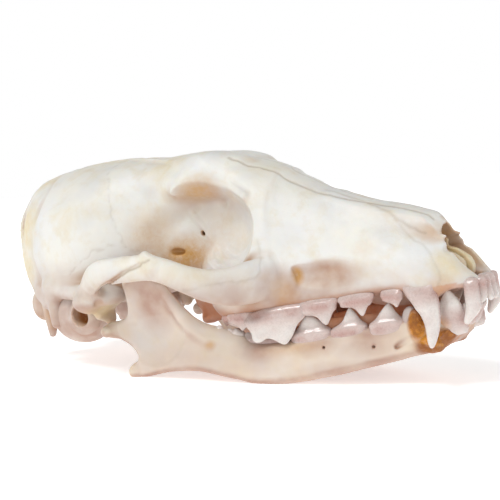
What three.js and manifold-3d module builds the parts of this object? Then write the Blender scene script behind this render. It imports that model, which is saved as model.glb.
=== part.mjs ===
// Red fox skull, life size, in millimetres, with its lower jaw in place.
//
// The bones are described in the skull's own frame: x runs forward from the back of the skull, y is
// the distance from the middle plane (both sides are alike) and z is the height above the line of
// the upper tooth sockets. Each bone is a solid that blends simple masses and hollows. Its surface
// is traced on a fine lattice, thinned to few faces, parted with thin cuts, and joined to its teeth.
import * as THREE from "three";
import { mergeVertices } from "three/addons/utils/BufferGeometryUtils.js";
import Module from "manifold-3d";

const wasm = await Module();
wasm.setup();

// ---------------------------------------------------------------- driving dimensions, mm
const NOSE_UP = 8.1; // tilt at rest, degrees: the jaw's corners and its deepest bend share one level
const REST_LEVEL = -5.55; // that level, measured in the tilted frame before the skull is set down
const SEAM = 0.3; // gap between neighbouring pieces
const FOREHEAD_BACK = 62; // x of the narrow waist behind the eye sockets
const SNOUT_SEAM = { low: [62, 12.5], high: [93, 41] }; // x, z of the slanted seam across the socket
const ARCH_BACK = 46.5; // where the cheek arch leaves the braincase
const ARCH_FRONT = 84.5; // where it meets the snout
const ARCH_INNER = 22.8; // nothing but the arch lies further out between those two
const BONE_LATTICE = 1.25;
const TOOTH_LATTICE = 0.5;
const CRANIUM_FACES = 3000;
const BULLA_FACES = 180;
const JAW_FACES = 820;
const BIG = 400;
const SIDES = [
  ["left", false],
  ["right", true],
];

// Stations of the lofted masses: x, half width, top, underside, level of greatest width.
const BRAINCASE = [
  [1.5, 11, 44, 14, 27],
  [4, 15.5, 47, 10, 26],
  [8, 19, 49.3, 8.5, 25.5],
  [14, 21.8, 50.6, 8, 25],
  [22, 23.6, 51, 8, 25],
  [32, 24, 50.6, 8, 26],
  [42, 21.8, 49.8, 8.5, 28],
  [50, 17.5, 48.6, 9, 29],
  [56, 13.5, 47.8, 9.5, 30],
  [61, 11.2, 47, 10, 31],
  [67, 10, 45.5, 11, 31],
  [73, 8, 43, 12, 30],
];
const FOREHEAD = [
  [54, 9, 46, 36, 41],
  [60, 11.2, 46.9, 33, 40],
  [66, 14.2, 46.6, 32, 39],
  [71, 15.5, 46, 32, 38.3],
  [77, 14.2, 44.6, 31, 37.6],
  [82, 13.8, 42.6, 29, 36],
  [87, 14.2, 40, 26, 32],
  [92, 12, 36.6, 24, 28],
];
const SOCKET_WALL = [
  [50, 10.5, 42, 10, 26],
  [58, 10.4, 43, 9.5, 26],
  [66, 9.2, 43, 9, 24],
  [73, 8.8, 42, 8, 22],
  [80, 9.8, 41, 6, 20],
  [86, 13, 39, 3, 18],
  [91, 15, 37, 1, 16],
];
const SNOUT = [
  [74, 8, 36, 3, 12],
  [80, 17.6, 39.2, 1.4, 9],
  [84, 20.4, 40.6, 0.5, 9],
  [88, 20.2, 39.8, 0.2, 9],
  [92, 18.6, 37.8, 0.2, 8],
  [97, 16.8, 34.7, 0.2, 7],
  [103, 15.2, 30.8, 0.5, 6.5],
  [109, 14.3, 27.2, 1, 6],
  [115, 13.4, 24.6, 1.3, 6],
  [121, 12.9, 22.9, 1.3, 6],
  [127, 12.8, 20.9, 0.6, 5.5],
  [131, 12.4, 19, 0.3, 5],
  [135, 11.2, 17.6, 0.1, 4.5],
  [139, 8.8, 16.5, -0.2, 4],
  [142, 5.5, 15, -0.2, 4],
  [143.5, 2.5, 14, 0.2, 4],
];
const PALATE_VAULT = [
  [66, 8.5, 3, -8, -2],
  [76, 9.5, 3, -8, -2],
  [86, 11.3, 3.2, -8, -2],
  [92, 10.2, 3.2, -8, -2],
  [98, 9.5, 3, -8, -2],
  [110, 8, 2.8, -8, -2],
  [122, 7, 2.6, -8, -2],
  [130, 5.8, 2.2, -8, -2],
  [137, 3.5, 1.2, -8, -2],
];
const THROAT_CHANNEL = [
  [47, 3.5, 11, -6, 5],
  [53, 5.6, 11.6, -6, 5],
  [60, 6.4, 12, -6, 5],
  [70.5, 6.6, 12, -6, 5],
];

// Paths of the straps of bone: x, y, z, half thickness, half height.
const NUCHAL_CREST = [
  [7, -3, 48.9, 1, 1.6],
  [7, 0, 49, 1, 1.6],
  [5.8, 4, 47.4, 1, 1.8],
  [4.2, 8, 43.4, 1, 2],
  [2.4, 12, 36.4, 1, 2.1],
  [3.4, 15, 29, 1, 2.1],
  [6.4, 17.6, 22, 1, 2],
  [10.5, 19.6, 16, 1, 1.8],
  [14.5, 20.9, 11.5, 1.2, 1.6],
];
const CHEEK_ARCH = [
  [34, 24.5, 12.4, 2.6, 2.6],
  [39, 28.6, 14.6, 2.4, 3.2],
  [44, 32.2, 16.8, 1.9, 3.6],
  [50, 35, 18, 1.6, 3.7],
  [56, 36.4, 18.2, 1.5, 3.5],
  [62, 37, 18, 1.4, 3.4],
  [67, 36.6, 17.6, 1.4, 3.4],
  [71.3, 35.6, 16, 1.5, 3.3],
  [75.6, 33.5, 13.2, 1.6, 3.5],
  [80, 30.2, 10.6, 1.7, 4.2],
  [84.5, 26.4, 9.3, 1.9, 5],
  [88.5, 22, 9.5, 2.2, 5.5],
  [91.5, 18, 10, 2.4, 5.3],
];
const EAR_RIDGE = [
  [13, 20.6, 15.5, 1.3, 1.3],
  [20, 22.3, 13.6, 1.3, 1.2],
  [27, 24, 12.6, 1.5, 1.2],
  [34, 26, 12.2, 2, 1.5],
];
const BROW_RIM = [
  [84.5, 15.8, 33.2, 0.9, 1.3],
  [80, 14.3, 36, 0.9, 1.1],
  [76, 14.9, 37.8, 0.9, 1],
  [72, 16.4, 38.2, 0.9, 1],
  [68.5, 17.8, 37.6, 0.8, 1],
  [65.4, 18.5, 36.2, 0.6, 0.7],
];
const PTERYGOID_PLATE = [
  [76, 10, 7.5, 1.1, 5.5],
  [70, 8.6, 7.4, 0.9, 5.2],
  [64, 8, 7.2, 0.8, 5],
  [58, 7.4, 7.6, 0.8, 4.6],
  [52.5, 7, 8.4, 0.7, 3.6],
];

// The lower jaw: side outline as x, z, then x with the distance of its middle surface from the
// middle plane, and x with its half thickness.
const JAW_OUTLINE = [
  [37.3, 1.2],
  [38.2, 3.2],
  [40.6, 3.9],
  [43.4, 4.2],
  [45.6, 5.6],
  [46.4, 10],
  [46.8, 16],
  [49, 20.6],
  [52.6, 20],
  [56, 14.6],
  [59.8, 10.2],
  [63.8, 4.6],
  [68, 0.6],
  [73, -1.6],
  [79, -3.8],
  [84, -6.8],
  [94, -7.4],
  [104, -7.2],
  [114, -6.4],
  [123, -5.2],
  [128.5, -6],
  [133.5, -8.4],
  [138, -8.8],
  [139, -10.8],
  [136.4, -13],
  [131, -14.8],
  [126.3, -14.6],
  [114.8, -16.6],
  [104, -17.8],
  [93.2, -18.5],
  [83, -17.8],
  [75, -15.4],
  [66, -12.8],
  [56.9, -11.9],
  [47.3, -12.6],
  [44, -11.6],
  [44.6, -9],
  [46.8, -7.2],
  [45.6, -4.2],
  [42.8, -1.6],
  [39.6, -0.2],
];
const JAW_MIDDLE = [
  [36, 23.2],
  [45, 22],
  [60, 20.5],
  [75, 18],
  [85, 16],
  [100, 12.5],
  [110, 10],
  [118, 7],
  [125, 5.2],
  [132, 4.6],
  [139, 3.2],
];
const JAW_THICKNESS = [
  [36, 1.5],
  [48, 1.4],
  [60, 1.8],
  [70, 2.8],
  [80, 3.3],
  [100, 3.2],
  [110, 3.1],
  [118, 3.8],
  [125, 4.4],
  [132, 4.4],
  [139, 3.2],
];
const JAW_EDGE_ROUNDING = 2.4;
const MASSETER_HOLLOW = { x: 54, z: 3, length: 11, height: 13, shift: 0.7, thinning: 0.35 };
const CORONOID_LEAN = { from: 4, slope: 0.1 };

// Teeth: neck centre and radii, turn about z in degrees, faces, and cusps as foot, tip and radii.
const UPPER_TEETH = [
  {
    neck: [141.4, 1.8, 1, 1.7, 1.6, 1.6],
    cusps: [
      [141.8, 1.8, 0, 142.6, 1.8, -4.6, 1.4, 0.7],
      [142.1, 1.2, -2, 142.7, 1, -4.4, 0.9, 0.5],
      [142.1, 2.4, -2, 142.7, 2.6, -4.2, 0.9, 0.5],
    ],
    faces: 34,
  },
  {
    neck: [140.6, 5, 1, 1.7, 1.6, 1.7],
    cusps: [[140.8, 5, 0, 141.4, 5.2, -4.8, 1.5, 0.6]],
    faces: 32,
  },
  {
    neck: [139.2, 7.9, 0.6, 1.9, 1.7, 1.6],
    cusps: [[139.2, 8, -0.4, 138.4, 8.8, -8, 1.6, 0.5]],
    faces: 38,
  },
  {
    neck: [129.6, 11.9, 0.8, 3.7, 2.8, 2.6],
    cusps: [
      [129.6, 12.1, -0.5, 130.6, 13.1, -5.6, 3.1, 2],
      [130.6, 13.1, -5.6, 130.2, 13.7, -12.3, 2, 0.45],
    ],
    faces: 70,
  },
  {
    neck: [121.2, 11.9, 0.9, 2.2, 1.2, 1.8],
    cusps: [[121.4, 12.2, 0.2, 121.8, 12.2, -2, 1.2, 0.4]],
    faces: 32,
  },
  {
    neck: [112.3, 12.7, 1.3, 4.1, 1.5, 2],
    turn: -8,
    cusps: [
      [112.8, 13, 0.6, 113.5, 13.2, -2.9, 1.9, 0.4],
      [110, 13, 0.6, 109.5, 13.2, -0.9, 1.2, 0.4],
    ],
    faces: 50,
  },
  {
    neck: [101.8, 14.5, 1, 4.3, 1.7, 2.1],
    turn: -12,
    cusps: [
      [102.4, 14.5, 0.3, 103, 14.6, -3.8, 2.1, 0.4],
      [99.2, 15.1, 0.3, 98.7, 15.2, -1.6, 1.3, 0.4],
    ],
    faces: 54,
  },
  {
    neck: [91, 18.2, -0.4, 6, 2.3, 2.8],
    turn: -17,
    cusps: [
      [91.8, 18.4, -1.2, 92.3, 18.8, -6.8, 2.6, 0.45],
      [87.6, 19.7, -1.2, 87, 20, -5.3, 2, 0.5],
      [95.2, 15, 0, 95.5, 14.6, -1.9, 1.4, 0.6],
      [86.8, 20, -1.2, 85.9, 20.2, -4.7, 1.2, 0.4],
    ],
    faces: 94,
  },
  {
    neck: [82.3, 16, 0, 3.8, 5.3, 2.1],
    cusps: [
      [84.1, 18.9, -0.6, 84.3, 19.3, -3.8, 2, 0.5],
      [80.8, 18.8, -0.6, 80.6, 19.1, -3.3, 1.9, 0.5],
      [83, 13.8, -0.4, 83.2, 13.6, -2.4, 1.6, 0.6],
      [81.1, 11.9, -0.4, 81, 11.6, -1.8, 1.3, 0.6],
    ],
    faces: 86,
  },
  {
    neck: [75.8, 14.9, 0.5, 2.6, 3.9, 1.5],
    cusps: [
      [76.6, 17.1, 0, 76.7, 17.3, -1.3, 1.2, 0.5],
      [74.8, 16.7, 0, 74.7, 16.9, -1.1, 1.1, 0.5],
      [75.7, 12.8, 0.2, 75.7, 12.6, -1, 1.1, 0.6],
    ],
    faces: 46,
  },
];
const LOWER_TEETH = [
  {
    neck: [138.6, 1.4, -9, 1.2, 1.1, 1.4],
    cusps: [[139, 1.4, -8.6, 140.7, 1.4, -5.3, 1.1, 0.6]],
    faces: 24,
  },
  {
    neck: [137.7, 3.5, -8.8, 1.3, 1.2, 1.4],
    cusps: [[138.2, 3.5, -8.4, 139.8, 3.7, -4.9, 1.2, 0.6]],
    faces: 24,
  },
  {
    neck: [136.8, 5.4, -8.5, 1.3, 1.2, 1.4],
    cusps: [[137, 5.4, -8, 138.3, 6, -4.5, 1.3, 0.6]],
    faces: 26,
  },
  {
    neck: [133.4, 6.3, -9, 3.4, 2.5, 2.4],
    cusps: [
      [133.5, 6.4, -8, 134.9, 7.7, -4.4, 2.7, 1.7],
      [134.9, 7.7, -4.4, 135.3, 8.8, -0.8, 1.7, 0.45],
    ],
    faces: 62,
  },
  {
    neck: [123, 8.7, -4.9, 1.7, 1, 1.2],
    cusps: [[123.1, 8.7, -4.6, 123.4, 8.7, -2.7, 1, 0.4]],
    faces: 24,
  },
  {
    neck: [117.8, 9.9, -5, 3.7, 1.3, 1.5],
    turn: -16,
    cusps: [[118.3, 9.9, -4.6, 118.9, 9.8, -1.5, 1.7, 0.4]],
    faces: 40,
  },
  {
    neck: [108.3, 11.7, -6, 4, 1.4, 1.6],
    turn: -14,
    cusps: [
      [108.4, 11.7, -5.4, 108.8, 11.6, -1.5, 1.9, 0.4],
      [105.4, 12.3, -5.4, 105.2, 12.4, -3.9, 1.1, 0.4],
    ],
    faces: 46,
  },
  {
    neck: [98.4, 13.8, -6.3, 4.5, 1.6, 1.8],
    turn: -14,
    cusps: [
      [98.6, 13.8, -5.8, 99.1, 13.7, -1.9, 2.1, 0.4],
      [95.4, 14.4, -5.8, 95.3, 14.4, -3.5, 1.3, 0.5],
    ],
    faces: 50,
  },
  {
    neck: [86.2, 15.4, -6.4, 7.2, 1.9, 2.2],
    turn: -14,
    cusps: [
      [87, 15.3, -5.6, 86.6, 15, -1.7, 2, 0.5],
      [90.2, 14.5, -5.8, 90.6, 14.4, -3.2, 2, 0.5],
      [82.2, 16.2, -5.8, 82, 16.3, -4.1, 1.7, 0.9],
      [85.8, 14.2, -5, 85.4, 13.8, -2.6, 1.2, 0.5],
    ],
    faces: 78,
  },
  {
    neck: [77, 17.4, -4.3, 3.3, 2.2, 1.5],
    cusps: [
      [78, 17.8, -3.8, 78.2, 17.9, -2.9, 1.2, 0.6],
      [76.1, 17.8, -3.6, 76, 17.9, -2.8, 1.1, 0.6],
      [78, 16.2, -3.8, 78.2, 16, -3, 1.1, 0.6],
    ],
    faces: 34,
  },
  {
    neck: [73, 18.2, -2.6, 1.5, 1.4, 1.2],
    cusps: [[73, 18.2, -2.4, 73, 18.2, -1.7, 0.9, 0.6]],
    faces: 18,
  },
];
const CUSP_BLEND = 0.8;

const BONE = { color: 0xeae2d0, roughness: 0.62, metalness: 0 };
const JAW_BONE = { color: 0xe6d9c8, roughness: 0.6, metalness: 0 };

// ---------------------------------------------------------------- blending of masses
const SEARCH = 3; // a mass is only looked at this close to its own box

function smoothMin(a, b, k) {
  if (k <= 0) return Math.min(a, b);
  const h = Math.max(k - Math.abs(a - b), 0) / k;
  return Math.min(a, b) - (h * h * k) / 4;
}

const clamp01 = (t) => Math.min(Math.max(t, 0), 1);

// Distance to an ellipsoid with the given radii, from its centre.
function ellipsoidDistance(x, y, z, a, b, c) {
  const near = Math.hypot(x / a, y / b, z / c) + 1e-6;
  const slope = Math.hypot(x / (a * a), y / (b * b), z / (c * c)) + 1e-6;
  return (near * (near - 1)) / slope;
}

// An ellipsoid, turned by degrees about x, y and z.
function ball(centre, radii, turn = [0, 0, 0]) {
  const angles = turn.map(THREE.MathUtils.degToRad);
  const back = new THREE.Matrix4().makeRotationFromEuler(new THREE.Euler(...angles, "ZYX")).invert();
  const p = new THREE.Vector3();
  const reach = turn.some((t) => t) ? radii.map(() => Math.max(...radii)) : radii;
  return {
    low: centre.map((c, i) => c - reach[i]),
    high: centre.map((c, i) => c + reach[i]),
    distance(x, y, z) {
      p.set(x - centre[0], y - centre[1], z - centre[2]).applyMatrix4(back);
      return ellipsoidDistance(p.x, p.y, p.z, ...radii);
    },
  };
}

// A round cone with ball ends.
function rod(from, to, fromRadius, toRadius) {
  const [ax, ay, az] = to.map((v, i) => v - from[i]);
  const length2 = ax * ax + ay * ay + az * az;
  const r = Math.max(fromRadius, toRadius);
  return {
    low: from.map((v, i) => Math.min(v, to[i]) - r),
    high: from.map((v, i) => Math.max(v, to[i]) + r),
    distance(x, y, z) {
      const [dx, dy, dz] = [x - from[0], y - from[1], z - from[2]];
      const t = clamp01((dx * ax + dy * ay + dz * az) / length2);
      return Math.hypot(dx - t * ax, dy - t * ay, dz - t * az) - fromRadius - t * (toRadius - fromRadius);
    },
  };
}

// A Catmull-Rom curve through rows of numbers, each span in equal steps.
function curveThrough(rows, steps, closed = false) {
  const n = rows.length;
  const beyond = (inner, outer) => outer.map((v, i) => 2 * v - inner[i]);
  const row = (i) => {
    if (closed) return rows[(i + n) % n];
    if (i < 0) return beyond(rows[1], rows[0]);
    return i < n ? rows[i] : beyond(rows[n - 2], rows[n - 1]);
  };
  const out = [];
  for (let i = 0; i < (closed ? n : n - 1); i++) {
    const [a, b, c, d] = [row(i - 1), row(i), row(i + 1), row(i + 2)];
    for (let s = 0; s < steps; s++) {
      const t = s / steps;
      const cubic = (p, j) =>
        2 * p + (c[j] - a[j]) * t + (2 * a[j] - 5 * p + 4 * c[j] - d[j]) * t * t +
        (3 * p - a[j] - 3 * c[j] + d[j]) * t ** 3;
      out.push(b.map((p, j) => 0.5 * cubic(p, j)));
    }
  }
  if (!closed) out.push(rows[n - 1]);
  return out;
}

// A strap with an oval section along a path of x, y, z, half thickness and half height.
function strap(path) {
  const rows = curveThrough(path, 4);
  const spans = rows.slice(1).map((next, i) => {
    const start = rows[i];
    const along = new THREE.Vector3(next[0] - start[0], next[1] - start[1], next[2] - start[2]);
    const length = along.length();
    const forward = along.clone().normalize();
    const side = forward.clone().cross(new THREE.Vector3(0, 0, 1)).normalize();
    return { start, next, along, length, forward, side, up: side.clone().cross(forward) };
  });
  const d = new THREE.Vector3();
  const reach = (pick, sign) =>
    [0, 1, 2].map((i) => pick(...rows.map((r) => r[i] + sign * Math.max(r[3], r[4]))));
  return {
    low: reach(Math.min, -1),
    high: reach(Math.max, 1),
    distance(x, y, z) {
      let nearest = Infinity;
      for (const { start, next, along, length, forward, side, up } of spans) {
        d.set(x - start[0], y - start[1], z - start[2]);
        const t = clamp01(d.dot(forward) / length);
        d.addScaledVector(along, -t);
        const thick = start[3] + t * (next[3] - start[3]);
        const tall = start[4] + t * (next[4] - start[4]);
        const round = Math.min(thick, tall);
        const here = ellipsoidDistance(d.dot(side), d.dot(up), d.dot(forward), thick, tall, round);
        nearest = Math.min(nearest, here);
      }
      return nearest;
    },
  };
}

// The value of a column of stations at x, as a smooth curve through the stations.
function column(stations, index) {
  const xs = stations.map((s) => s[0]);
  const vs = stations.map((s) => s[index]);
  const last = xs.length - 1;
  const slopes = xs.map((_, i) => {
    if (i === 0) return (vs[1] - vs[0]) / (xs[1] - xs[0]);
    if (i === last) return (vs[last] - vs[last - 1]) / (xs[last] - xs[last - 1]);
    const [back, ahead] = [xs[i] - xs[i - 1], xs[i + 1] - xs[i]];
    const [before, after] = [(vs[i] - vs[i - 1]) / back, (vs[i + 1] - vs[i]) / ahead];
    return (before * ahead + after * back) / (back + ahead);
  });
  return (at) => {
    const x = Math.min(Math.max(at, xs[0]), xs[last]);
    let i = 0;
    while (i < last - 1 && x >= xs[i + 1]) i++;
    const h = xs[i + 1] - xs[i];
    const t = (x - xs[i]) / h;
    const bend = t * t * (3 - 2 * t);
    return (
      vs[i] * (1 - bend) + vs[i + 1] * bend +
      h * t * (1 - t) * ((1 - t) * slopes[i] - t * slopes[i + 1])
    );
  };
}

// A body with rounded, squarish sections along x.
function loft(stations, topPower, lowPower) {
  const [half, top, under, wide] = [1, 2, 3, 4].map((i) => column(stations, i));
  const [first, last] = [stations[0][0], stations[stations.length - 1][0]];
  const widest = Math.max(...stations.map((s) => s[1]));
  return {
    low: [first, -widest, Math.min(...stations.map((s) => s[3]))],
    high: [last, widest, Math.max(...stations.map((s) => s[2]))],
    distance(x, y, z) {
      const level = wide(x);
      const rise = z - level;
      const height = rise > 0 ? top(x) - level : level - under(x);
      const power = rise > 0 ? topPower : lowPower;
      const w = half(x);
      const r = ((Math.abs(y) / w) ** power + (Math.abs(rise) / height) ** power + 1e-9) ** (1 / power);
      const inside = r < 0.2 ? -0.8 * Math.min(w, height) : Math.hypot(y, rise) * (1 - 1 / r);
      return -smoothMin(-inside, -Math.max(first - x, x - last), 1);
    },
  };
}

// All that lies behind a plane through a point, the normal facing out.
function behind(point, normal) {
  const n = new THREE.Vector3(...normal).normalize();
  return {
    low: [-BIG, -BIG, -BIG],
    high: [BIG, BIG, BIG],
    distance: (x, y, z) => (x - point[0]) * n.x + (y - point[1]) * n.y + (z - point[2]) * n.z,
  };
}

// One half of the lower jaw as a plate with round edges, between its two faces.
function jawPlate() {
  const outline = curveThrough(JAW_OUTLINE, 4, true);
  const middle = column(JAW_MIDDLE, 1);
  const thickness = column(JAW_THICKNESS, 1);
  const { x: hx, z: hz, length, height, shift, thinning } = MASSETER_HOLLOW;
  const [xs, zs] = [0, 1].map((i) => outline.map((p) => p[i]));
  return {
    low: [Math.min(...xs) - 1, 0, Math.min(...zs) - 1],
    high: [Math.max(...xs) + 1, 30, Math.max(...zs) + 1],
    distance(x, y, z) {
      let nearest = Infinity;
      let inside = false;
      outline.forEach(([ax, az], i) => {
        const [bx, bz] = outline[(i + 1) % outline.length];
        const [ex, ez] = [bx - ax, bz - az];
        const t = clamp01(((x - ax) * ex + (z - az) * ez) / (ex * ex + ez * ez));
        nearest = Math.min(nearest, (x - ax - ex * t) ** 2 + (z - az - ez * t) ** 2);
        if (az > z !== bz > z && x < (ex * (z - az)) / ez + ax) inside = !inside;
      });
      const edge = Math.sqrt(nearest) * (inside ? -1 : 1);
      const hollow = Math.sqrt(Math.max(1 - ((x - hx) / length) ** 2 - ((z - hz) / height) ** 2, 0));
      const lean = CORONOID_LEAN.slope * Math.max(z - CORONOID_LEAN.from, 0);
      const centre = middle(x) + lean - shift * hollow;
      const half = thickness(x) - thinning * hollow;
      const round = Math.min(half, JAW_EDGE_ROUNDING);
      const out = Math.max(edge + round, 0);
      const aside = Math.max(Math.abs(y - centre) - (half - round), 0);
      return Math.hypot(out, aside) - round;
    },
  };
}

// A form takes masses and hollows one after another, each blended over a width of k.
class Form {
  constructor() {
    this.steps = [];
  }
  add(mass, k = 0) {
    this.steps.push({ mass, k, sign: 1 });
    return this;
  }
  cut(mass, k = 0) {
    this.steps.push({ mass, k, sign: -1 });
    return this;
  }
  keep(mass, k = 0) {
    this.steps.push({ mass, k, sign: 0 });
    return this;
  }
  distance(x, y, z) {
    let d = SEARCH * 10;
    for (const { mass, k, sign } of this.steps) {
      const m = SEARCH + k;
      const { low, high } = mass;
      const away =
        x < low[0] - m || x > high[0] + m || y < low[1] - m || y > high[1] + m ||
        z < low[2] - m || z > high[2] + m;
      if (sign !== 0 && away) continue;
      const here = mass.distance(x, y, z);
      if (sign === 1) d = smoothMin(d, here, k);
      else d = -smoothMin(-d, sign === 0 ? -here : here, k);
    }
    return d;
  }
}

// ---------------------------------------------------------------- from forms to meshes
// The six tetrahedra of a lattice cube share its long diagonal, which keeps the surface closed.
const CORNERS = [0, 1, 2, 3, 4, 5, 6, 7].map((c) => [c & 1, (c >> 1) & 1, c >> 2]);
const TETRAHEDRA = [
  [0, 1, 3, 7],
  [0, 3, 2, 7],
  [0, 2, 6, 7],
  [0, 6, 4, 7],
  [0, 4, 5, 7],
  [0, 5, 1, 7],
];

// The surface of a form inside a box, as points and triangles facing out.
function trace(form, low, high, step, twoSided) {
  const size = low.map((v, i) => Math.ceil((high[i] - v) / step) + 1);
  const at = (i, j, k) => (i * size[1] + j) * size[2] + k;
  const place = (i, j, k) => [low[0] + i * step, low[1] + j * step, low[2] + k * step];
  const values = new Float32Array(size[0] * size[1] * size[2]);
  for (let i = 0; i < size[0]; i++)
    for (let j = 0; j < size[1]; j++)
      for (let k = 0; k < size[2]; k++) {
        const [x, y, z] = place(i, j, k);
        const d = form.distance(x, twoSided ? Math.abs(y) : y, z);
        values[at(i, j, k)] = Math.abs(d) < 1e-4 ? 1e-4 : d;
      }
  const points = [];
  const triangles = [];
  const known = new Map();
  const crossing = (a, b) => {
    const key = Math.min(a.id, b.id) * values.length + Math.max(a.id, b.id);
    if (!known.has(key)) {
      const t = Math.min(Math.max(a.value / (a.value - b.value), 0.02), 0.98);
      known.set(key, points.push(a.p.map((v, i) => v + t * (b.p[i] - v))) - 1);
    }
    const id = known.get(key);
    return { id, p: points[id] };
  };
  for (let i = 0; i < size[0] - 1; i++)
    for (let j = 0; j < size[1] - 1; j++)
      for (let k = 0; k < size[2] - 1; k++) {
        const ids = CORNERS.map(([a, b, c]) => at(i + a, j + b, k + c));
        const inside = ids.filter((id) => values[id] < 0).length;
        if (inside === 0 || inside === 8) continue;
        const corners = CORNERS.map(([a, b, c], n) => {
          return { id: ids[n], value: values[ids[n]], p: place(i + a, j + b, k + c) };
        });
        for (const four of TETRAHEDRA) splitTetrahedron(four.map((n) => corners[n]), crossing, triangles);
      }
  return { points, triangles };
}

// Adds the triangles that part the inner from the outer corners of one tetrahedron.
function splitTetrahedron(corners, crossing, triangles) {
  const inner = corners.filter((c) => c.value < 0);
  const outer = corners.filter((c) => c.value >= 0);
  if (!inner.length || !outer.length) return;
  const middle = (set, i) => set.reduce((sum, c) => sum + c.p[i], 0) / set.length;
  const outward = new THREE.Vector3(...[0, 1, 2].map((i) => middle(outer, i) - middle(inner, i)));
  const push = (...loop) => {
    const [a, b, c] = loop.map((m) => new THREE.Vector3(...m.p));
    const normal = b.sub(a).cross(c.sub(a));
    const ids = loop.map((m) => m.id);
    triangles.push(normal.dot(outward) > 0 ? ids : ids.reverse());
  };
  if (inner.length === 2) {
    const [a, b] = inner;
    const [c, d] = outer;
    const loop = [crossing(a, c), crossing(a, d), crossing(b, d), crossing(b, c)];
    push(loop[0], loop[1], loop[2]);
    push(loop[0], loop[2], loop[3]);
  } else {
    const [lone, others] = inner.length === 1 ? [inner[0], outer] : [outer[0], inner];
    push(...others.map((other) => crossing(lone, other)));
  }
}

// Thins a closed mesh to about a number of faces, giving up first the edges that matter least to
// its shape. A quadric holds the squared distance to the planes of the faces round a point.
function thin({ points, triangles }, target) {
  const faces = triangles.map((t) => t.slice());
  const ring = points.map(() => new Set());
  faces.forEach((f, i) => f.forEach((v) => ring[v].add(i)));
  const quadrics = points.map(() => new Float64Array(10));
  const edges = new Heap();
  const version = new Uint32Array(points.length);
  const normalOf = (a, b, c) => {
    const [ux, uy, uz] = [b[0] - a[0], b[1] - a[1], b[2] - a[2]];
    const [vx, vy, vz] = [c[0] - a[0], c[1] - a[1], c[2] - a[2]];
    return [uy * vz - uz * vy, uz * vx - ux * vz, ux * vy - uy * vx];
  };
  for (const f of faces) {
    const [a, b, c] = f.map((v) => points[v]);
    const n = normalOf(a, b, c);
    const area = Math.hypot(...n) || 1e-12;
    const [nx, ny, nz] = n.map((v) => v / area);
    const w = -(nx * a[0] + ny * a[1] + nz * a[2]);
    const terms = [nx * nx, nx * ny, nx * nz, nx * w, ny * ny, ny * nz, ny * w, nz * nz, nz * w, w * w];
    for (const v of f) terms.forEach((t, i) => (quadrics[v][i] += t * area));
  }
  const error = (q, [x, y, z]) =>
    q[0] * x * x + 2 * q[1] * x * y + 2 * q[2] * x * z + 2 * q[3] * x + q[4] * y * y +
    2 * q[5] * y * z + 2 * q[6] * y + q[7] * z * z + 2 * q[8] * z + q[9];
  // The best place for the joined point, or the better of the ends and the middle of the edge.
  const bestPlace = (q, a, b) => {
    const m = new THREE.Matrix3().set(q[0], q[1], q[2], q[1], q[4], q[5], q[2], q[5], q[7]);
    const middle = a.map((v, i) => (v + b[i]) / 2);
    const span = Math.hypot(...a.map((v, i) => v - b[i]));
    if (Math.abs(m.determinant()) > 1e-5 * (q[0] + q[4] + q[7]) ** 3) {
      const p = new THREE.Vector3(-q[3], -q[6], -q[8]).applyMatrix3(m.invert()).toArray();
      if (Math.hypot(...p.map((v, i) => v - middle[i])) < 1.5 * span) return p;
    }
    return [middle, a, b].reduce((best, p) => (error(q, p) < error(q, best) ? p : best));
  };
  const offer = (a, b) => {
    const q = quadrics[a].map((v, i) => v + quadrics[b][i]);
    const p = bestPlace(q, points[a], points[b]);
    edges.push({ cost: error(q, p), a, b, p, at: version[a] + version[b] });
  };
  const neighbours = (v) => new Set([...ring[v]].flatMap((i) => faces[i]).filter((n) => n !== v));
  faces.forEach((f) => f.forEach((a, i) => a < f[(i + 1) % 3] && offer(a, f[(i + 1) % 3])));
  let left = faces.length;
  while (left > target && edges.size) {
    const { a, b, p, at } = edges.pop();
    if (!ring[a].size || !ring[b].size || version[a] + version[b] !== at) continue;
    const nearA = neighbours(a);
    const shared = [...neighbours(b)].filter((v) => nearA.has(v));
    if (shared.length !== 2) continue;
    const gone = [...ring[a]].filter((i) => ring[b].has(i));
    const turnsOver = [...ring[a], ...ring[b]].some((i) => {
      if (gone.includes(i)) return false;
      const old = faces[i].map((v) => points[v]);
      const moved = faces[i].map((v, n) => (v === a || v === b ? p : old[n]));
      const [n0, n1] = [normalOf(...old), normalOf(...moved)];
      const agree = n0[0] * n1[0] + n0[1] * n1[1] + n0[2] * n1[2];
      return agree < 0.3 * Math.hypot(...n0) * Math.hypot(...n1);
    });
    if (turnsOver) continue;
    points[a] = p;
    quadrics[b].forEach((v, i) => (quadrics[a][i] += v));
    for (const i of gone) for (const v of faces[i]) ring[v].delete(i);
    for (const i of ring[b]) {
      faces[i] = faces[i].map((v) => (v === b ? a : v));
      ring[a].add(i);
    }
    ring[b].clear();
    left -= gone.length;
    version[a] += points.length;
    version[b] += points.length;
    for (const v of neighbours(a)) offer(Math.min(a, v), Math.max(a, v));
  }
  const kept = faces.filter((f, i) => ring[f[0]].has(i));
  const order = new Map();
  const fresh = kept.map((f) => f.map((v) => order.get(v) ?? order.set(v, order.size).get(v)));
  return { points: [...order.keys()].map((v) => points[v]), triangles: fresh };
}

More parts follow.
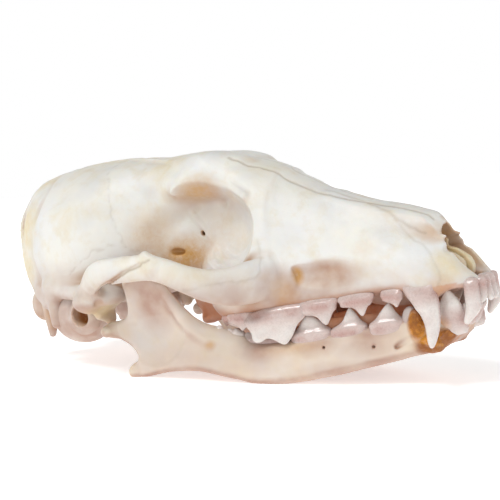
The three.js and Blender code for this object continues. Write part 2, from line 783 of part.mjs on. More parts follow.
// A queue that gives the cheapest entry first.
class Heap {
  constructor() {
    this.items = [];
  }
  get size() {
    return this.items.length;
  }
  push(item) {
    const { items } = this;
    let i = items.push(item) - 1;
    while (i > 0 && items[(i - 1) >> 1].cost > item.cost) {
      items[i] = items[(i - 1) >> 1];
      i = (i - 1) >> 1;
    }
    items[i] = item;
  }
  pop() {
    const { items } = this;
    const first = items[0];
    const item = items.pop();
    if (!items.length) return first;
    let i = 0;
    for (;;) {
      let child = 2 * i + 1;
      if (child >= items.length) break;
      if (child + 1 < items.length && items[child + 1].cost < items[child].cost) child++;
      if (items[child].cost >= item.cost) break;
      items[i] = items[child];
      i = child;
    }
    items[i] = item;
    return first;
  }
}

// ---------------------------------------------------------------- the bones
function craniumForm() {
  const form = new Form();
  form.add(loft(BRAINCASE, 2.3, 2.5));
  form.add(loft(SOCKET_WALL, 2.4, 2.4), 4);
  form.add(loft(FOREHEAD, 2.3, 2.2), 3);
  form.add(loft(SNOUT, 2.15, 6), 2.5);
  form.add(ball([69, 6.6, 42], [14, 6.5, 4], [0, 3, 0]), 4); // swelling of the brow
  form.add(ball([80.5, 14, 6], [10.5, 6.6, 7.6]), 2); // bone over the molars
  form.cut(ball([76, 26, 24.6], [14.4, 16, 13.2]), 1); // eye socket
  form.add(rod([71.5, 12, 40.8], [66, 17.8, 37], 3, 1.1), 2); // postorbital process
  form.add(strap(BROW_RIM), 1.2);
  form.add(rod([130.5, 9.3, 2.5], [118.5, 9.4, 13], 4.2, 3.2), 3); // root of the canine tooth
  addJawJoint(form);
  addBackOfSkull(form);
  form.cut(loft(THROAT_CHANNEL, 2.3, 4), 1);
  form.add(strap(PTERYGOID_PLATE), 1);
  form.add(rod([54, 7.1, 5.2], [51.3, 7.3, 2.2], 1, 0.6), 1); // hook of the pterygoid
  form.cut(loft(PALATE_VAULT, 2.5, 4), 1.2);
  form.cut(rod([62, 0, 8.2], [86, 0, 8.6], 4.2, 3.2), 1); // inner nostrils
  form.add(strap(CHEEK_ARCH), 1.6);
  form.add(rod([68.6, 36.6, 17.6], [67, 36.5, 21], 1.9, 0.8), 1.5); // frontal process of the cheekbone
  for (const z of [9.4, 11.4]) form.cut(rod([101, 17.6, z], [88, 14.5, z + 1.5], 1.6, 1.6), 0.6);
  form.cut(ball([107, 17.3, 8.5], [12, 3.2, 5]), 3); // hollow in front of that opening
  form.keep(behind([132.8, 0, 18.4], [0.86, 0, 0.51]), 0.8); // slope of the nose opening
  form.cut(ball([140, 0, 8.6], [30, 5.7, 8]), 0.8);
  return form;
}

// The socket that takes the jaw, with the process behind it, and the ridge over the ear.
function addJawJoint(form) {
  form.add(ball([38, 24, 11], [6.8, 8.5, 4.2]), 3);
  form.cut(rod([42.5, 16, 4.4], [41.5, 31, 4.8], 4.4, 4.4), 1);
  form.add(rod([36, 18.6, 7.5], [36.2, 18.8, 4.6], 2, 1.3), 1.5);
  form.add(rod([36.2, 18.8, 5], [36.4, 23.5, 6.2], 1.5, 1.2), 1.5);
  form.add(strap(EAR_RIDGE), 1.5);
}

function addBackOfSkull(form) {
  form.add(rod([17.6, 20.8, 17], [17, 20.5, 7.5], 2.7, 1.7), 2); // mastoid process
  form.add(rod([12, 16.5, 14], [10.2, 16.4, 2.3], 3.4, 1.1), 2); // paroccipital process
  form.cut(ball([-8, 0, 33], [12, 9, 9]), 3);
  form.add(strap(NUCHAL_CREST), 1.5);
  form.add(rod([5, 0, 49.8], [34, 0, 50.3], 0.9, 0.5), 1.2); // sagittal crest
  form.add(ball([4.2, 8.4, 12], [4.3, 4.3, 5.8], [0, 0, -20]), 1.5); // occipital condyle
  form.cut(rod([-8, 0, 17.5], [14, 0, 18.5], 6.2, 4.8), 1); // foramen magnum
}

// The ear capsule, with the rim of the ear opening on its outer side.
function bullaForm() {
  const form = new Form();
  form.add(ball([22.3, 14.4, 7], [11.2, 7.8, 8.7], [0, 8, 8]));
  form.add(rod([27.5, 16.5, 7.6], [29.2, 20.6, 7.2], 5.2, 4.2), 1.5);
  form.cut(rod([28.4, 18, 7.2], [31.5, 30, 6.6], 2.6, 3.2), 0.5);
  return form;
}

function jawForm() {
  const form = new Form();
  form.add(jawPlate());
  form.add(rod([41, 17.8, 1.6], [39.8, 25.4, 1.6], 1.9, 1.6), 1.5); // condyle
  form.add(rod([44.8, 20.6, -10.4], [45.2, 22.8, -10.6], 1.5, 1.5), 1.5); // angular process
  form.keep(behind([0, SEAM / 2, 0], [0, -1, 0]), 0.3); // the two halves meet at the chin
  return form;
}

function toothForm({ neck, turn = 0, cusps }) {
  const form = new Form();
  form.add(ball(neck.slice(0, 3), neck.slice(3), [0, 0, turn]));
  for (const cusp of cusps) {
    form.add(rod(cusp.slice(0, 3), cusp.slice(3, 6), cusp[6], cusp[7]), CUSP_BLEND);
  }
  return form;
}

// ---------------------------------------------------------------- solids
function solidFrom({ points, triangles }, mirrored = false) {
  const side = mirrored ? -1 : 1;
  const vertProperties = new Float32Array(points.flatMap(([x, y, z]) => [x, y * side, z]));
  const triVerts = new Uint32Array(triangles.flatMap((t) => (mirrored ? [t[0], t[2], t[1]] : t)));
  return new wasm.Manifold(new wasm.Mesh({ numProp: 3, vertProperties, triVerts }));
}

// A closed three.js geometry that has only positions becomes a solid.
function solidOfGeometry(geometry) {
  const bare = new THREE.BufferGeometry();
  bare.setAttribute("position", geometry.getAttribute("position"));
  bare.setIndex(geometry.getIndex());
  const merged = mergeVertices(bare);
  return new wasm.Manifold(
    new wasm.Mesh({
      numProp: 3,
      vertProperties: merged.getAttribute("position").array,
      triVerts: new Uint32Array(merged.getIndex().array),
    }),
  );
}

function box(low, high) {
  const size = low.map((v, i) => high[i] - v);
  const geometry = new THREE.BoxGeometry(...size);
  return solidOfGeometry(geometry.translate(...low.map((v, i) => v + size[i] / 2)));
}

// All that lies below a plane, less half a seam.
function halfSpace(point, normal, gap = SEAM / 2) {
  const turn = new THREE.Quaternion().setFromUnitVectors(
    new THREE.Vector3(0, 0, 1),
    new THREE.Vector3(...normal).normalize(),
  );
  const geometry = new THREE.BoxGeometry(BIG, BIG, BIG).translate(0, 0, -BIG / 2 - gap);
  return solidOfGeometry(geometry.applyQuaternion(turn).translate(...point));
}

// The same mesh with each point moved out by a distance, along the normals of its faces.
function grown({ points, triangles }, distance) {
  const geometry = new THREE.BufferGeometry();
  geometry.setAttribute("position", new THREE.Float32BufferAttribute(points.flat(), 3));
  geometry.setIndex(triangles.flat());
  geometry.computeVertexNormals();
  const normals = geometry.getAttribute("normal");
  const moved = points.map((p, i) => {
    const n = [normals.getX(i), normals.getY(i), normals.getZ(i)];
    return p.map((v, axis) => v + n[axis] * distance);
  });
  return { points: moved, triangles };
}

// A form's mesh from the lattice round it. A two-sided form is traced on both sides of the middle.
function meshOf(form, step, faces, twoSided = false) {
  const masses = form.steps.filter(({ sign }) => sign === 1).map(({ mass }) => mass);
  const low = [0, 1, 2].map((i) => Math.min(...masses.map((m) => m.low[i])) - 2 * step);
  const high = [0, 1, 2].map((i) => Math.max(...masses.map((m) => m.high[i])) + 2 * step);
  if (twoSided) low[1] = -high[1];
  return thin(trace(form, low, high, step, twoSided), faces);
}

function joinTeeth(bone, teeth, mirrored) {
  return teeth.reduce((solid, tooth) => {
    const mesh = meshOf(toothForm(tooth), TOOTH_LATTICE, tooth.faces);
    return solid.add(solidFrom(mesh, mirrored));
  }, bone);
}

function craniumPieces() {
  const whole = solidFrom(meshOf(craniumForm(), BONE_LATTICE, CRANIUM_FACES, true));
  const bullaMesh = meshOf(bullaForm(), BONE_LATTICE, BULLA_FACES);
  const pocketMesh = grown(bullaMesh, SEAM);
  const pieces = {};
  let rest = whole;
  for (const [side, mirrored] of SIDES) {
    const [near, far] = mirrored ? [-BIG, -ARCH_INNER] : [ARCH_INNER, BIG];
    const g = SEAM / 2;
    const arch = box([ARCH_BACK + g, near + g, -BIG], [ARCH_FRONT - g, far - g, BIG]);
    const clearance = box([ARCH_BACK - g, near - g, -BIG], [ARCH_FRONT + g, far + g, BIG]);
    pieces["zygomatic_arch_" + side] = whole.intersect(arch);
    pieces["auditory_bulla_" + side] = solidFrom(bullaMesh, mirrored);
    rest = rest.subtract(clearance).subtract(solidFrom(pocketMesh, mirrored));
  }
  const waist = [FOREHEAD_BACK, 0, 0];
  const front = rest.intersect(halfSpace(waist, [-1, 0, 0]));
  const seamPoint = [SNOUT_SEAM.low[0], 0, SNOUT_SEAM.low[1]];
  const run = SNOUT_SEAM.high[0] - SNOUT_SEAM.low[0];
  const rise = SNOUT_SEAM.high[1] - SNOUT_SEAM.low[1];
  const seamUp = [-rise, 0, run];
  const seamDown = [rise, 0, -run];
  pieces.braincase = rest.intersect(halfSpace(waist, [1, 0, 0]));
  pieces.forehead = front.intersect(halfSpace(seamPoint, seamDown));
  let snout = front.intersect(halfSpace(seamPoint, seamUp));
  for (const [, mirrored] of SIDES) snout = joinTeeth(snout, UPPER_TEETH, mirrored);
  pieces.snout = snout;
  return pieces;
}

function jawPieces() {
  const mesh = meshOf(jawForm(), BONE_LATTICE, JAW_FACES);
  const tilt = THREE.MathUtils.degToRad(NOSE_UP);
  const up = [Math.sin(tilt), 0, Math.cos(tilt)];
  const ground = halfSpace(up.map((v) => v * REST_LEVEL), up, 0);
  return Object.fromEntries(
    SIDES.map(([side, mirrored]) => {
      const jaw = joinTeeth(solidFrom(mesh, mirrored), LOWER_TEETH, mirrored);
      return ["mandible_" + side, jaw.subtract(ground)];
    }),
  );
}

// ---------------------------------------------------------------- the scene graph
function meshFrom(name, solid, finish) {
  const { vertProperties, triVerts } = solid.getMesh();
  const geometry = new THREE.BufferGeometry();
  geometry.setAttribute("position", new THREE.BufferAttribute(vertProperties, 3));
  geometry.setIndex(new THREE.BufferAttribute(triVerts, 1));
  const mesh = new THREE.Mesh(geometry, new THREE.MeshStandardMaterial(finish));
  mesh.name = name;
  return mesh;
}

function groupOf(pieces, finish) {
  const group = new THREE.Group();
  for (const [name, solid] of Object.entries(pieces)) group.add(meshFrom(name, solid, finish));
  return group;
}

const tilted = new THREE.Group();
tilted.rotation.y = -THREE.MathUtils.degToRad(NOSE_UP);
tilted.add(groupOf(craniumPieces(), BONE), groupOf(jawPieces(), JAW_BONE));
tilted.updateMatrixWorld(true);

// The skull stands with the middle of its footprint at the origin.
const bounds = new THREE.Box3().setFromObject(tilted, true);
const middle = bounds.getCenter(new THREE.Vector3());
tilted.position.set(-middle.x, -middle.y, -bounds.min.z);

const foxSkull = new THREE.Group();
foxSkull.add(tilted);

export default foxSkull;
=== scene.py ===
"""A red fox skull with its lower jaw in place, resting on a pale table.

Every bone and tooth is a distance field on a lattice, turned into a fine mesh. Lengths are millimetres
in the skull's own frame (x from the back of the skull to the nose, y to its left, z up, the tooth row
level) until placed() turns them into metres in the model's frame. Stations, seams, stains and painted
shade are given for the left side and mirrored. A shape is a distance function and the low and high
corners of its box.
"""

import copy
import itertools
import math

import bpy
import numpy as np
from mathutils import Matrix, Vector


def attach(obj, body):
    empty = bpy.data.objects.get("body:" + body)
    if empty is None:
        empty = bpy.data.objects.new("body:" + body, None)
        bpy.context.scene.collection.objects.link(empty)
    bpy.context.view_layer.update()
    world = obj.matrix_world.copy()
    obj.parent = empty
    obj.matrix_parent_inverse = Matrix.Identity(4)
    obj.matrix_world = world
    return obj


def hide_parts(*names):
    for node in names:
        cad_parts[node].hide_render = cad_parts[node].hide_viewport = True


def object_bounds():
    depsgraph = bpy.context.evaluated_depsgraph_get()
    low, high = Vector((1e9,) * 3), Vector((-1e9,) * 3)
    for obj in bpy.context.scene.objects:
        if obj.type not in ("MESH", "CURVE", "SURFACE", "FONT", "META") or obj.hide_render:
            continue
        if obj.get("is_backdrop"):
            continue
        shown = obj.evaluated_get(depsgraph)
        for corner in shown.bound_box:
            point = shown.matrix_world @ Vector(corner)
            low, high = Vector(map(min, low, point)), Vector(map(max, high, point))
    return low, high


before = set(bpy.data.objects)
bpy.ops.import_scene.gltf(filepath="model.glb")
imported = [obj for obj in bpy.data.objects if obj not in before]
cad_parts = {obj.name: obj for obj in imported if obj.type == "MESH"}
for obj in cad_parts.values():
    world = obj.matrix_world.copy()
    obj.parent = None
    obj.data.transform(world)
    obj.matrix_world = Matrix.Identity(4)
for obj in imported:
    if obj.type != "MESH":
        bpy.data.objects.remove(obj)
CAD_LOW, CAD_HIGH = (np.array(corner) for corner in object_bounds())

# ---- driving sizes
NOSE_UP = math.radians(8.1)  # pitch of the tooth row on the table
SHIFT = (-68.962, 0.0, 5.55)  # from the skull's frame to the model's, after that pitch
CRANIUM_STEP = 0.42
JAW_STEP = 0.36
BULLA_STEP = 0.4
TOOTH_STEP = 0.24
CRANIUM_BOX = (-3, 0, -3), (146, 41, 55)
JAW_BOX = (35, -2, -21), (142, 28, 23)
BULLA_BOX = (9, 4, -4), (36, 27, 18)
MARGIN = 3.0  # how far past its own box a shape is still evaluated
FAR = 30.0  # the field's value away from every shape
CURVE_STEPS = 4  # pieces of a smooth line between two stations
# Where the cranium is parted into its nodes
FOREHEAD_BACK = 62.0
SNOUT_SEAM_LOW = (62.0, 12.5)
SNOUT_SEAM_HIGH = (93.0, 41.0)
ARCH_BACK = 46.5
ARCH_FRONT = 84.5
ARCH_INNER = 22.8
UPPER_NECKS = 0.3  # level of the teeth's necks
LOWER_NECKS = -7.4

# ---- stations along the skull
# x, half width, top, bottom, level of the greatest width
BRAINCASE = [
    (1.5, 11, 44, 14, 27), (4, 15.5, 47, 10, 26), (8, 19, 49.3, 8.5, 25.5), (14, 21.8, 50.6, 8, 25),
    (22, 23.6, 51, 8, 25), (32, 24, 50.6, 8, 26), (42, 21.8, 49.8, 8.5, 28), (50, 17.5, 48.6, 9, 29),
    (56, 13.5, 47.8, 9.5, 30), (61, 11.2, 47, 10, 31), (67, 10, 45.5, 11, 31), (73, 8, 43, 12, 30),
]
FOREHEAD = [
    (54, 9, 46, 36, 41), (60, 11.2, 46.9, 33, 40), (66, 15, 46.6, 32, 38.6), (71, 16.3, 46, 32, 37.8),
    (77, 15.2, 44.6, 31, 37), (82, 14.2, 42.6, 29, 35.6), (87, 14.2, 40, 26, 32), (92, 12, 36.6, 24, 28),
]
SOCKET_WALL = [
    (50, 10.5, 42, 10, 26), (58, 10.4, 43, 9.5, 26), (66, 9.2, 43, 9, 24), (73, 9.2, 42, 8, 22),
    (77, 10, 41.5, 7, 21), (80, 11, 41, 6, 20), (84, 13.2, 40, 4, 19), (88, 16, 38.5, 2, 17),
    (91, 17, 37, 1, 16),
]
SNOUT = [
    (74, 8, 36, 3, 12), (80, 17.6, 39.2, 1.4, 9), (84, 20.4, 40.6, 0.5, 9), (88, 20.2, 39.8, 0.2, 9),
    (92, 18.6, 37.8, 0.2, 8), (97, 16.8, 34.7, 0.2, 7), (103, 15.2, 30.8, 0.5, 6.5),
    (109, 14.3, 27.2, 1, 6), (115, 13.4, 24.6, 1.3, 6), (121, 12.9, 22.9, 1.3, 6),
    (127, 12.8, 20.9, 0.6, 5.5), (131, 12.4, 19, 0.3, 5), (135, 11.2, 17.6, 0.1, 4.5),
    (139, 8.8, 16.5, -0.2, 4), (142, 5.5, 15, -0.2, 4), (143.5, 2.5, 14, 0.2, 4),
]
PALATE_VAULT = [
    (66, 8.5, 3, -8, -2), (76, 9.5, 3, -8, -2), (86, 11.3, 3.2, -8, -2), (92, 10.2, 3.2, -8, -2),
    (98, 9.5, 3, -8, -2), (110, 8, 2.8, -8, -2), (122, 7, 2.6, -8, -2), (130, 5.8, 2.2, -8, -2),
    (137, 3.5, 1.2, -8, -2),
]
THROAT_CHANNEL = [
    (47, 3.5, 11, -6, 5), (53, 5.6, 11.6, -6, 5), (60, 6.4, 12, -6, 5), (70.5, 6.6, 12, -6, 5),
]
# x, y, z, half thickness across, half height
NUCHAL_CREST = [
    (7, -3, 48.9, 1, 1.6), (7, 0, 49, 1, 1.6), (5.8, 4, 47.4, 1, 1.8), (4.2, 8, 43.4, 1, 2),
    (2.4, 12, 36.4, 1, 2.1), (3.4, 15, 29, 1, 2.1), (6.4, 17.6, 22, 1, 2), (10.5, 19.6, 16, 1, 1.8),
    (14.5, 20.9, 11.5, 1.2, 1.6),
]
CHEEK_ARCH = [
    (34, 24.5, 12.4, 2.6, 2.6), (39, 28.6, 14.6, 2.4, 3.2), (44, 32.2, 16.8, 1.9, 3.6),
    (50, 35, 18, 1.6, 3.7), (56, 36.4, 18.2, 1.5, 3.5), (62, 37, 18, 1.4, 3.4),
    (67, 36.6, 17.6, 1.4, 3.4), (71.3, 35.6, 16, 1.5, 3.3), (75.6, 33.5, 13.2, 1.6, 3.5),
    (80, 30.2, 10.6, 1.7, 4.2), (84.5, 26.4, 9.3, 1.9, 5), (88.5, 22, 9.5, 2.2, 5.5),
    (91.5, 18, 10, 2.4, 5.3),
]
EAR_RIDGE = [
    (12, 19, 16.5, 1.6, 2.4), (20, 21, 14.9, 1.8, 2.2), (27, 22.8, 13.9, 2, 2.2),
    (34, 24.6, 13.3, 2.4, 2.2),
]
BROW_RIM = [
    (86, 15.6, 32, 0.6, 0.9), (80, 14, 36, 0.5, 0.7), (76, 14.4, 37.2, 0.5, 0.7),
    (72, 15.8, 37.6, 0.5, 0.7), (68.5, 17.2, 37.2, 0.5, 0.7), (65.4, 18.3, 36.3, 0.5, 0.6),
]
NASAL_ROOF = [
    (106, 2.6, 26.6, 3, 1.4), (116, 3, 22, 3, 1.4), (125, 3.2, 19.2, 2.8, 1.2),
    (133.5, 3.4, 16.9, 2.4, 1),
]
PTERYGOID_PLATE = [
    (77, 10.2, 7, 1.3, 5.4), (70, 8.8, 6, 1.2, 5.8), (65.5, 8.4, 6, 1.1, 5.6), (62.8, 8, 7, 1.1, 4.4),
    (60.4, 7.6, 10, 1, 2.4),
]
PLATE_EDGE = [
    (78, 10.4, 1.6, 1, 1), (70, 8.8, 0.3, 1, 1), (65, 8.4, 0, 1, 1), (61.8, 8.1, 0.2, 0.9, 0.9),
    (62.4, 8, 3.4, 0.9, 0.9), (61, 7.8, 8, 0.9, 0.9),
]
TEMPORAL_LINE = [
    (68, 14.2, 41.4, 0.5, 0.5), (63, 10.6, 44.4, 0.5, 0.5), (56, 7.6, 46.6, 0.5, 0.5),
    (47, 5.2, 48.8, 0.5, 0.5), (37, 3.4, 49.9, 0.5, 0.5), (25, 2, 50.6, 0.5, 0.5),
    (12, 1, 50.1, 0.5, 0.5),
]
ARCH_GROOVE = [
    (66, 38, 18.8, 0.25, 0.35), (61, 38.3, 17.6, 0.43, 0.35), (56.3, 37.3, 16.2, 0.65, 0.4),
    (52, 35.8, 15.1, 0.86, 0.45), (48, 33.6, 13.9, 1.08, 0.5), (44.5, 31.2, 12.2, 1.15, 0.6),
    (42.8, 30, 10.6, 1.22, 0.7), (41.4, 28.8, 8.6, 1.22, 0.8),
]
CREST_GROOVE = [
    (19, 3, 51.4, 0.7, 0.7), (17.3, 9.1, 50.4, 0.7, 0.7), (18, 16.8, 45.4, 0.8, 0.8),
    (15.4, 20, 39.3, 1, 1), (13, 21.5, 34.4, 1, 1), (11.3, 21.4, 27.8, 1, 1), (12.1, 21.7, 22.9, 1, 1),
    (13.3, 21.8, 18.4, 1, 1),
]
EAR_RING = [
    (30.9, 20.6, 10.2, 0.8, 0.8), (27.7, 21.6, 10.6, 0.8, 0.8), (25.3, 22, 8.4, 0.8, 0.8),
    (24.7, 22.2, 5.2, 0.8, 0.8), (26.3, 22, 2.8, 0.8, 0.8), (29.3, 21.6, 2, 0.8, 0.8),
    (32.3, 21, 3.2, 0.8, 0.8),
]
SOCKET_RIB = [(64.5, 10.6, 31.5, 0.5, 0.6), (67.2, 10.1, 27, 0.5, 0.6), (70, 9.3, 21.5, 0.5, 0.6)]
NOSE_SLOTS = [
    [(131, 1.9, 7, 0.35, 7), (142, 1.9, 6, 0.35, 7)],
    [(131, 4, 7, 0.35, 6), (142, 4, 6, 0.35, 6)],
]
NOSE_SEPTUM = [(112, 0, 8.5, 0.5, 8), (124, 0, 8, 0.45, 7.4), (133, 0, 7, 0.4, 6)]
# A ridge on the jaw's inner side that carries brown painted shade between the premolars
SHADE_RIDGE = [
    (92, 13, -7.8, 0.8, 3.4), (104, 10.9, -6.7, 0.9, 3.6), (114, 8.2, -6.6, 0.9, 3.2),
    (121, 6.8, -6.6, 0.9, 2.4),
]
MUSCLE_RIDGE = [
    (58.7, 21, 11, 0.8, 0.9), (62, 21.6, 5, 0.9, 1), (65.4, 21.4, 0, 1, 1), (71, 20.4, -5, 0.8, 1),
]
# x, z round the jaw's outline, then its middle surface (x, y) and half thickness (x, t)
JAW_OUTLINE = [
    (37.3, 1.2), (38.2, 3.2), (40.6, 3.9), (43.4, 4.2), (45.6, 5.6), (46.4, 10), (46.8, 16), (49, 20.6),
    (52.6, 20), (56, 14.6), (59.8, 10.2), (63.8, 4.6), (68, 0.6), (73, -1.6), (79, -3.8), (84, -6.8),
    (94, -7.4), (104, -7.2), (114, -6.4), (123, -5.2), (128.5, -6), (133, -8), (136.4, -7.6), (137, -8.4),
    (135.3, -9.9), (133.5, -11.6), (131.7, -13.1), (129.6, -14.5), (126.3, -15.1), (114.8, -16.6),
    (104, -17.8), (93.2, -18.5), (83, -17.8), (75, -15.4), (66, -12.8), (56.9, -11.9), (47.3, -12.6),
    (44, -11.6), (44.6, -9), (46.8, -7.2), (45.6, -4.2), (42.8, -1.6), (39.6, -0.2),
]
JAW_MIDDLE = [
    (36, 23.2), (45, 22), (60, 20.5), (75, 18), (85, 16), (100, 12.5), (110, 10), (118, 7), (125, 5.2),
    (132, 4.6), (139, 3.2),
]
JAW_THICKNESS = [
    (36, 1.5), (48, 1.4), (60, 1.8), (70, 2.8), (80, 3.3), (100, 3.2), (110, 3.1), (118, 3.8), (125, 4.4),
    (132, 4.4), (139, 3.2),
]

# Lines where two bones meet: how deep, how far it wavers, and its stations x, y, z
SUTURES = {
    "coronal": (0.35, 1.6, [
        (41, 0, 51), (40.7, 12.6, 47.1), (43.6, 18.8, 39.6), (44.9, 20.4, 30.9), (47, 19.4, 24.6),
    ]),
    "squamosal": (0.4, 1.8, [
        (28, 24, 19), (32.6, 23.6, 21.4), (38.5, 22.9, 24.8), (45.9, 19.7, 24.6), (50, 17.4, 21),
    ]),
    "nasal": (1, 0.25, [
        (80, 10, 42.6), (84.3, 9.2, 40.5), (88, 8.1, 38.7), (92.1, 6.9, 36.8), (98, 6.5, 32.2),
        (111.1, 4.9, 25.1), (121.3, 4.3, 22.1), (133, 3.8, 18),
    ]),
    "beside": (0.6, 0.25, [
        (104, 3.6, 29.8), (112.2, 3.9, 25.1), (117, 5, 22.8), (121.9, 6.2, 20.8), (126.6, 8, 17.6),
        (131, 7.4, 14.7),
    ]),
    "premaxilla": (0.35, 0.5, [
        (124, 7.6, 19), (128.5, 9.6, 15), (132.3, 10, 11), (134.2, 11.3, 4.9), (133.6, 12.2, 1.7),
    ]),
    "midline": (0.6, 0.6, [(46, 0, 50.4), (70, 0, 46.6), (90, 0, 39.6), (110, 0, 27), (134, 0, 18.6)]),
    "jugal": (0.8, 0, [
        (68.9, 37.9, 19.5), (65, 38.3, 18.3), (61.1, 38.4, 17.5), (56.3, 37.5, 15.9), (49.7, 34.8, 14.2),
        (44, 31, 12),
    ]),
    "cheek": (0.4, 1, [
        (76, 34.6, 10.4), (81.6, 31, 10.9), (86, 27, 10.4), (90.4, 22.9, 10.8), (91.5, 20.6, 15),
        (90, 19.6, 20),
    ]),
}
# Crowns seen from the side: outline x, z; y at its middle, lean per mm of z, turn per mm of x; half
# thickness at the neck and at the tip
UPPER_CROWNS = [
    ([
        (140.3, 2), (140.2, -0.5), (140.3, -3.6), (140.9, -4.4), (142, -4.1), (142.9, -3), (143.1, 0),
        (142.9, 2),
    ], 4.8, -0.05, -0.1, (1.5, 0.6)),
    ([
        (138.9, 2), (138.5, -0.5), (138.4, -4.8), (137.6, -7.4), (137.6, -8.4), (138.5, -8.7),
        (140.4, -7.1), (142, -5.2), (142.2, -3.3), (142.1, 0.3), (141.9, 2),
    ], 8, -0.08, -0.15, (1.8, 0.7)),
    ([
        (125.4, 3), (125.4, 0.3), (126.4, -1.4), (127.5, -3.3), (128.6, -5), (129.4, -8), (129.5, -11.4),
        (129.9, -12.7), (130.5, -13), (131.3, -12.2), (132.5, -9.8), (133.3, -7.2), (133.6, -3.4),
        (133.4, -1.2), (133, 0.6), (133, 3),
    ], 12.8, -0.12, -0.02, (2.8, 0.9)),
    ([
        (119.1, 2.2), (118.9, 0.2), (119.7, -0.8), (121.5, -1.5), (122.4, -2.4), (123.3, -1.5),
        (124.3, -0.2), (124.1, 2.2),
    ], 12.2, -0.04, -0.05, (1.3, 0.5)),
    ([
        (108, 2.4), (107.7, 0.2), (108.4, -0.7), (110.3, -1), (111.7, -1.9), (113.1, -3.5), (114.3, -2.3),
        (115.3, -0.9), (116.4, 0.3), (116.3, 2.4),
    ], 12.9, -0.04, -0.12, (1.5, 0.5)),
    ([
        (97.4, 2.4), (96.9, -0.6), (97.7, -1.5), (99.6, -1.8), (101.4, -2.6), (103.3, -4.6),
        (104.7, -3.2), (105.9, -1.2), (106.8, 0.6), (106.5, 2.6),
    ], 14.6, -0.04, -0.2, (1.7, 0.5)),
    ([
        (84.3, 1), (84, -4.4), (84.8, -6.3), (86.3, -6.6), (88, -5.9), (89.6, -6.3), (91.5, -7.7),
        (92.9, -7.9), (94.5, -6.2), (96.4, -3.6), (98.2, -1), (98.3, 1.6),
    ], 18, -0.06, -0.3, (2.1, 0.6)),
    ([
        (77.2, 1.6), (77.1, -0.8), (78, -1.7), (79.8, -2.4), (80.8, -3.2), (82.2, -2.5), (83.4, -3.2),
        (84.4, -4), (85.3, -3), (85.4, 1.6),
    ], 18.6, -0.05, -0.02, (1.8, 0.7)),
]
LOWER_CROWNS = [
    ([
        (130.4, -11), (130.2, -7), (131.6, -3.4), (133.3, -0.7), (134.4, 0.1), (135.6, -0.8),
        (136.9, -3.2), (137.3, -6.6), (136.9, -11),
    ], 7.2, 0.18, 0, (2.5, 0.9)),
    ([
        (122, -8.4), (121.8, -5.4), (122.6, -3.6), (124, -2.7), (125, -3.2), (125.4, -5), (125.2, -8.2),
    ], 8.7, 0, -0.1, (1.2, 0.5)),
    ([
        (114.4, -8.8), (113.7, -6.4), (115, -4.8), (117.1, -2.8), (118.8, -1.3), (119.5, -1.5),
        (120.6, -3.4), (122, -5.2), (122.3, -6.4), (121.4, -8.6),
    ], 9.9, 0, -0.25, (1.4, 0.5)),
    ([
        (104.2, -9.4), (103.4, -6.9), (105, -5.4), (107, -3.7), (108.8, -1.2), (109.4, -1.1),
        (110.6, -2.8), (112.3, -5.4), (112.7, -6.6), (111.8, -9.2),
    ], 11.7, 0, -0.25, (1.5, 0.5)),
    ([
        (94.4, -9.6), (92.9, -6.9), (93.6, -5.6), (95.5, -3.7), (97.2, -1.7), (98.2, -1.5), (100, -2.3),
        (102.5, -4.7), (103.4, -6), (103, -9.4),
    ], 13.8, 0, -0.25, (1.7, 0.5)),
    ([
        (79.8, -9.6), (79.5, -4.8), (80.5, -3.7), (82, -3.9), (83.4, -3.5), (85.4, -2.6), (86.6, -1.5),
        (88, -2.6), (90, -3.7), (91.6, -3.4), (92.8, -5), (93.6, -7.4), (93, -9.8),
    ], 15.4, 0, -0.25, (2, 0.6)),
]
# Smaller teeth: centre and radii of the neck, then the cusps: foot, tip, their two radii
UPPER_TEETH = [
    ((141.4, 1.8, 1), (1.7, 1.6, 1.6), [
        ((141.8, 1.8, 0), (142.6, 1.8, -3.6), 1.4, 0.7),
        ((142.1, 1.2, -1.4), (142.7, 1.0, -3.4), 0.9, 0.5),
        ((142.1, 2.4, -1.4), (142.7, 2.6, -3.2), 0.9, 0.5),
    ]),
    ((95, 15, 0), (1.9, 1.7, 1.6), [((95.2, 15, 0), (95.5, 14.6, -1.9), 1.4, 0.6)]),
    ((82, 15.2, 0), (3.4, 4.4, 2), [
        ((83, 13.8, -0.4), (83.2, 13.6, -2.4), 1.6, 0.6),
        ((81.1, 11.9, -0.4), (81, 11.6, -1.8), 1.3, 0.6),
    ]),
    ((75.8, 14.9, 0.5), (2.6, 3.9, 1.5), [
        ((76.6, 17.1, 0), (76.7, 17.3, -1.3), 1.2, 0.5), ((74.8, 16.7, 0), (74.7, 16.9, -1.1), 1.1, 0.5),
        ((75.7, 12.8, 0.2), (75.7, 12.6, -1), 1.1, 0.6),
    ]),
]
LOWER_TEETH = [
    ((136.6, 1.4, -8.2), (1.2, 1.1, 1.6), [((137, 1.4, -7.8), (139.6, 1.4, -5.1), 1.1, 0.7)]),
    ((136.2, 3.5, -8), (1.3, 1.2, 1.6), [((136.6, 3.5, -7.6), (138.9, 3.7, -4.7), 1.2, 0.7)]),
    ((135.6, 5.4, -7.8), (1.3, 1.2, 1.6), [((135.8, 5.4, -7.2), (137.5, 6, -4.3), 1.3, 0.7)]),
    ((77, 17.4, -4.3), (3.3, 2.2, 1.7), [
        ((78, 17.8, -3.8), (78.2, 17.9, -2.9), 1.2, 0.6),
        ((76.1, 17.8, -3.6), (76, 17.9, -2.8), 1.1, 0.6), ((78, 16.2, -3.8), (78.2, 16, -3), 1.1, 0.6),
    ]),
    ((73, 18.2, -2.6), (1.5, 1.4, 1.4), [((73, 18.2, -2.4), (73, 18.2, -1.7), 0.9, 0.6)]),
]


# ---- distance fields
def soft_min(a, b, width):
    """The smaller of two fields, with their joint rounded over about width."""
    if width <= 0:
        return np.minimum(a, b)
    h = np.maximum(width - np.abs(a - b), 0) / width
    return np.minimum(a, b) - h * h * (width / 4)


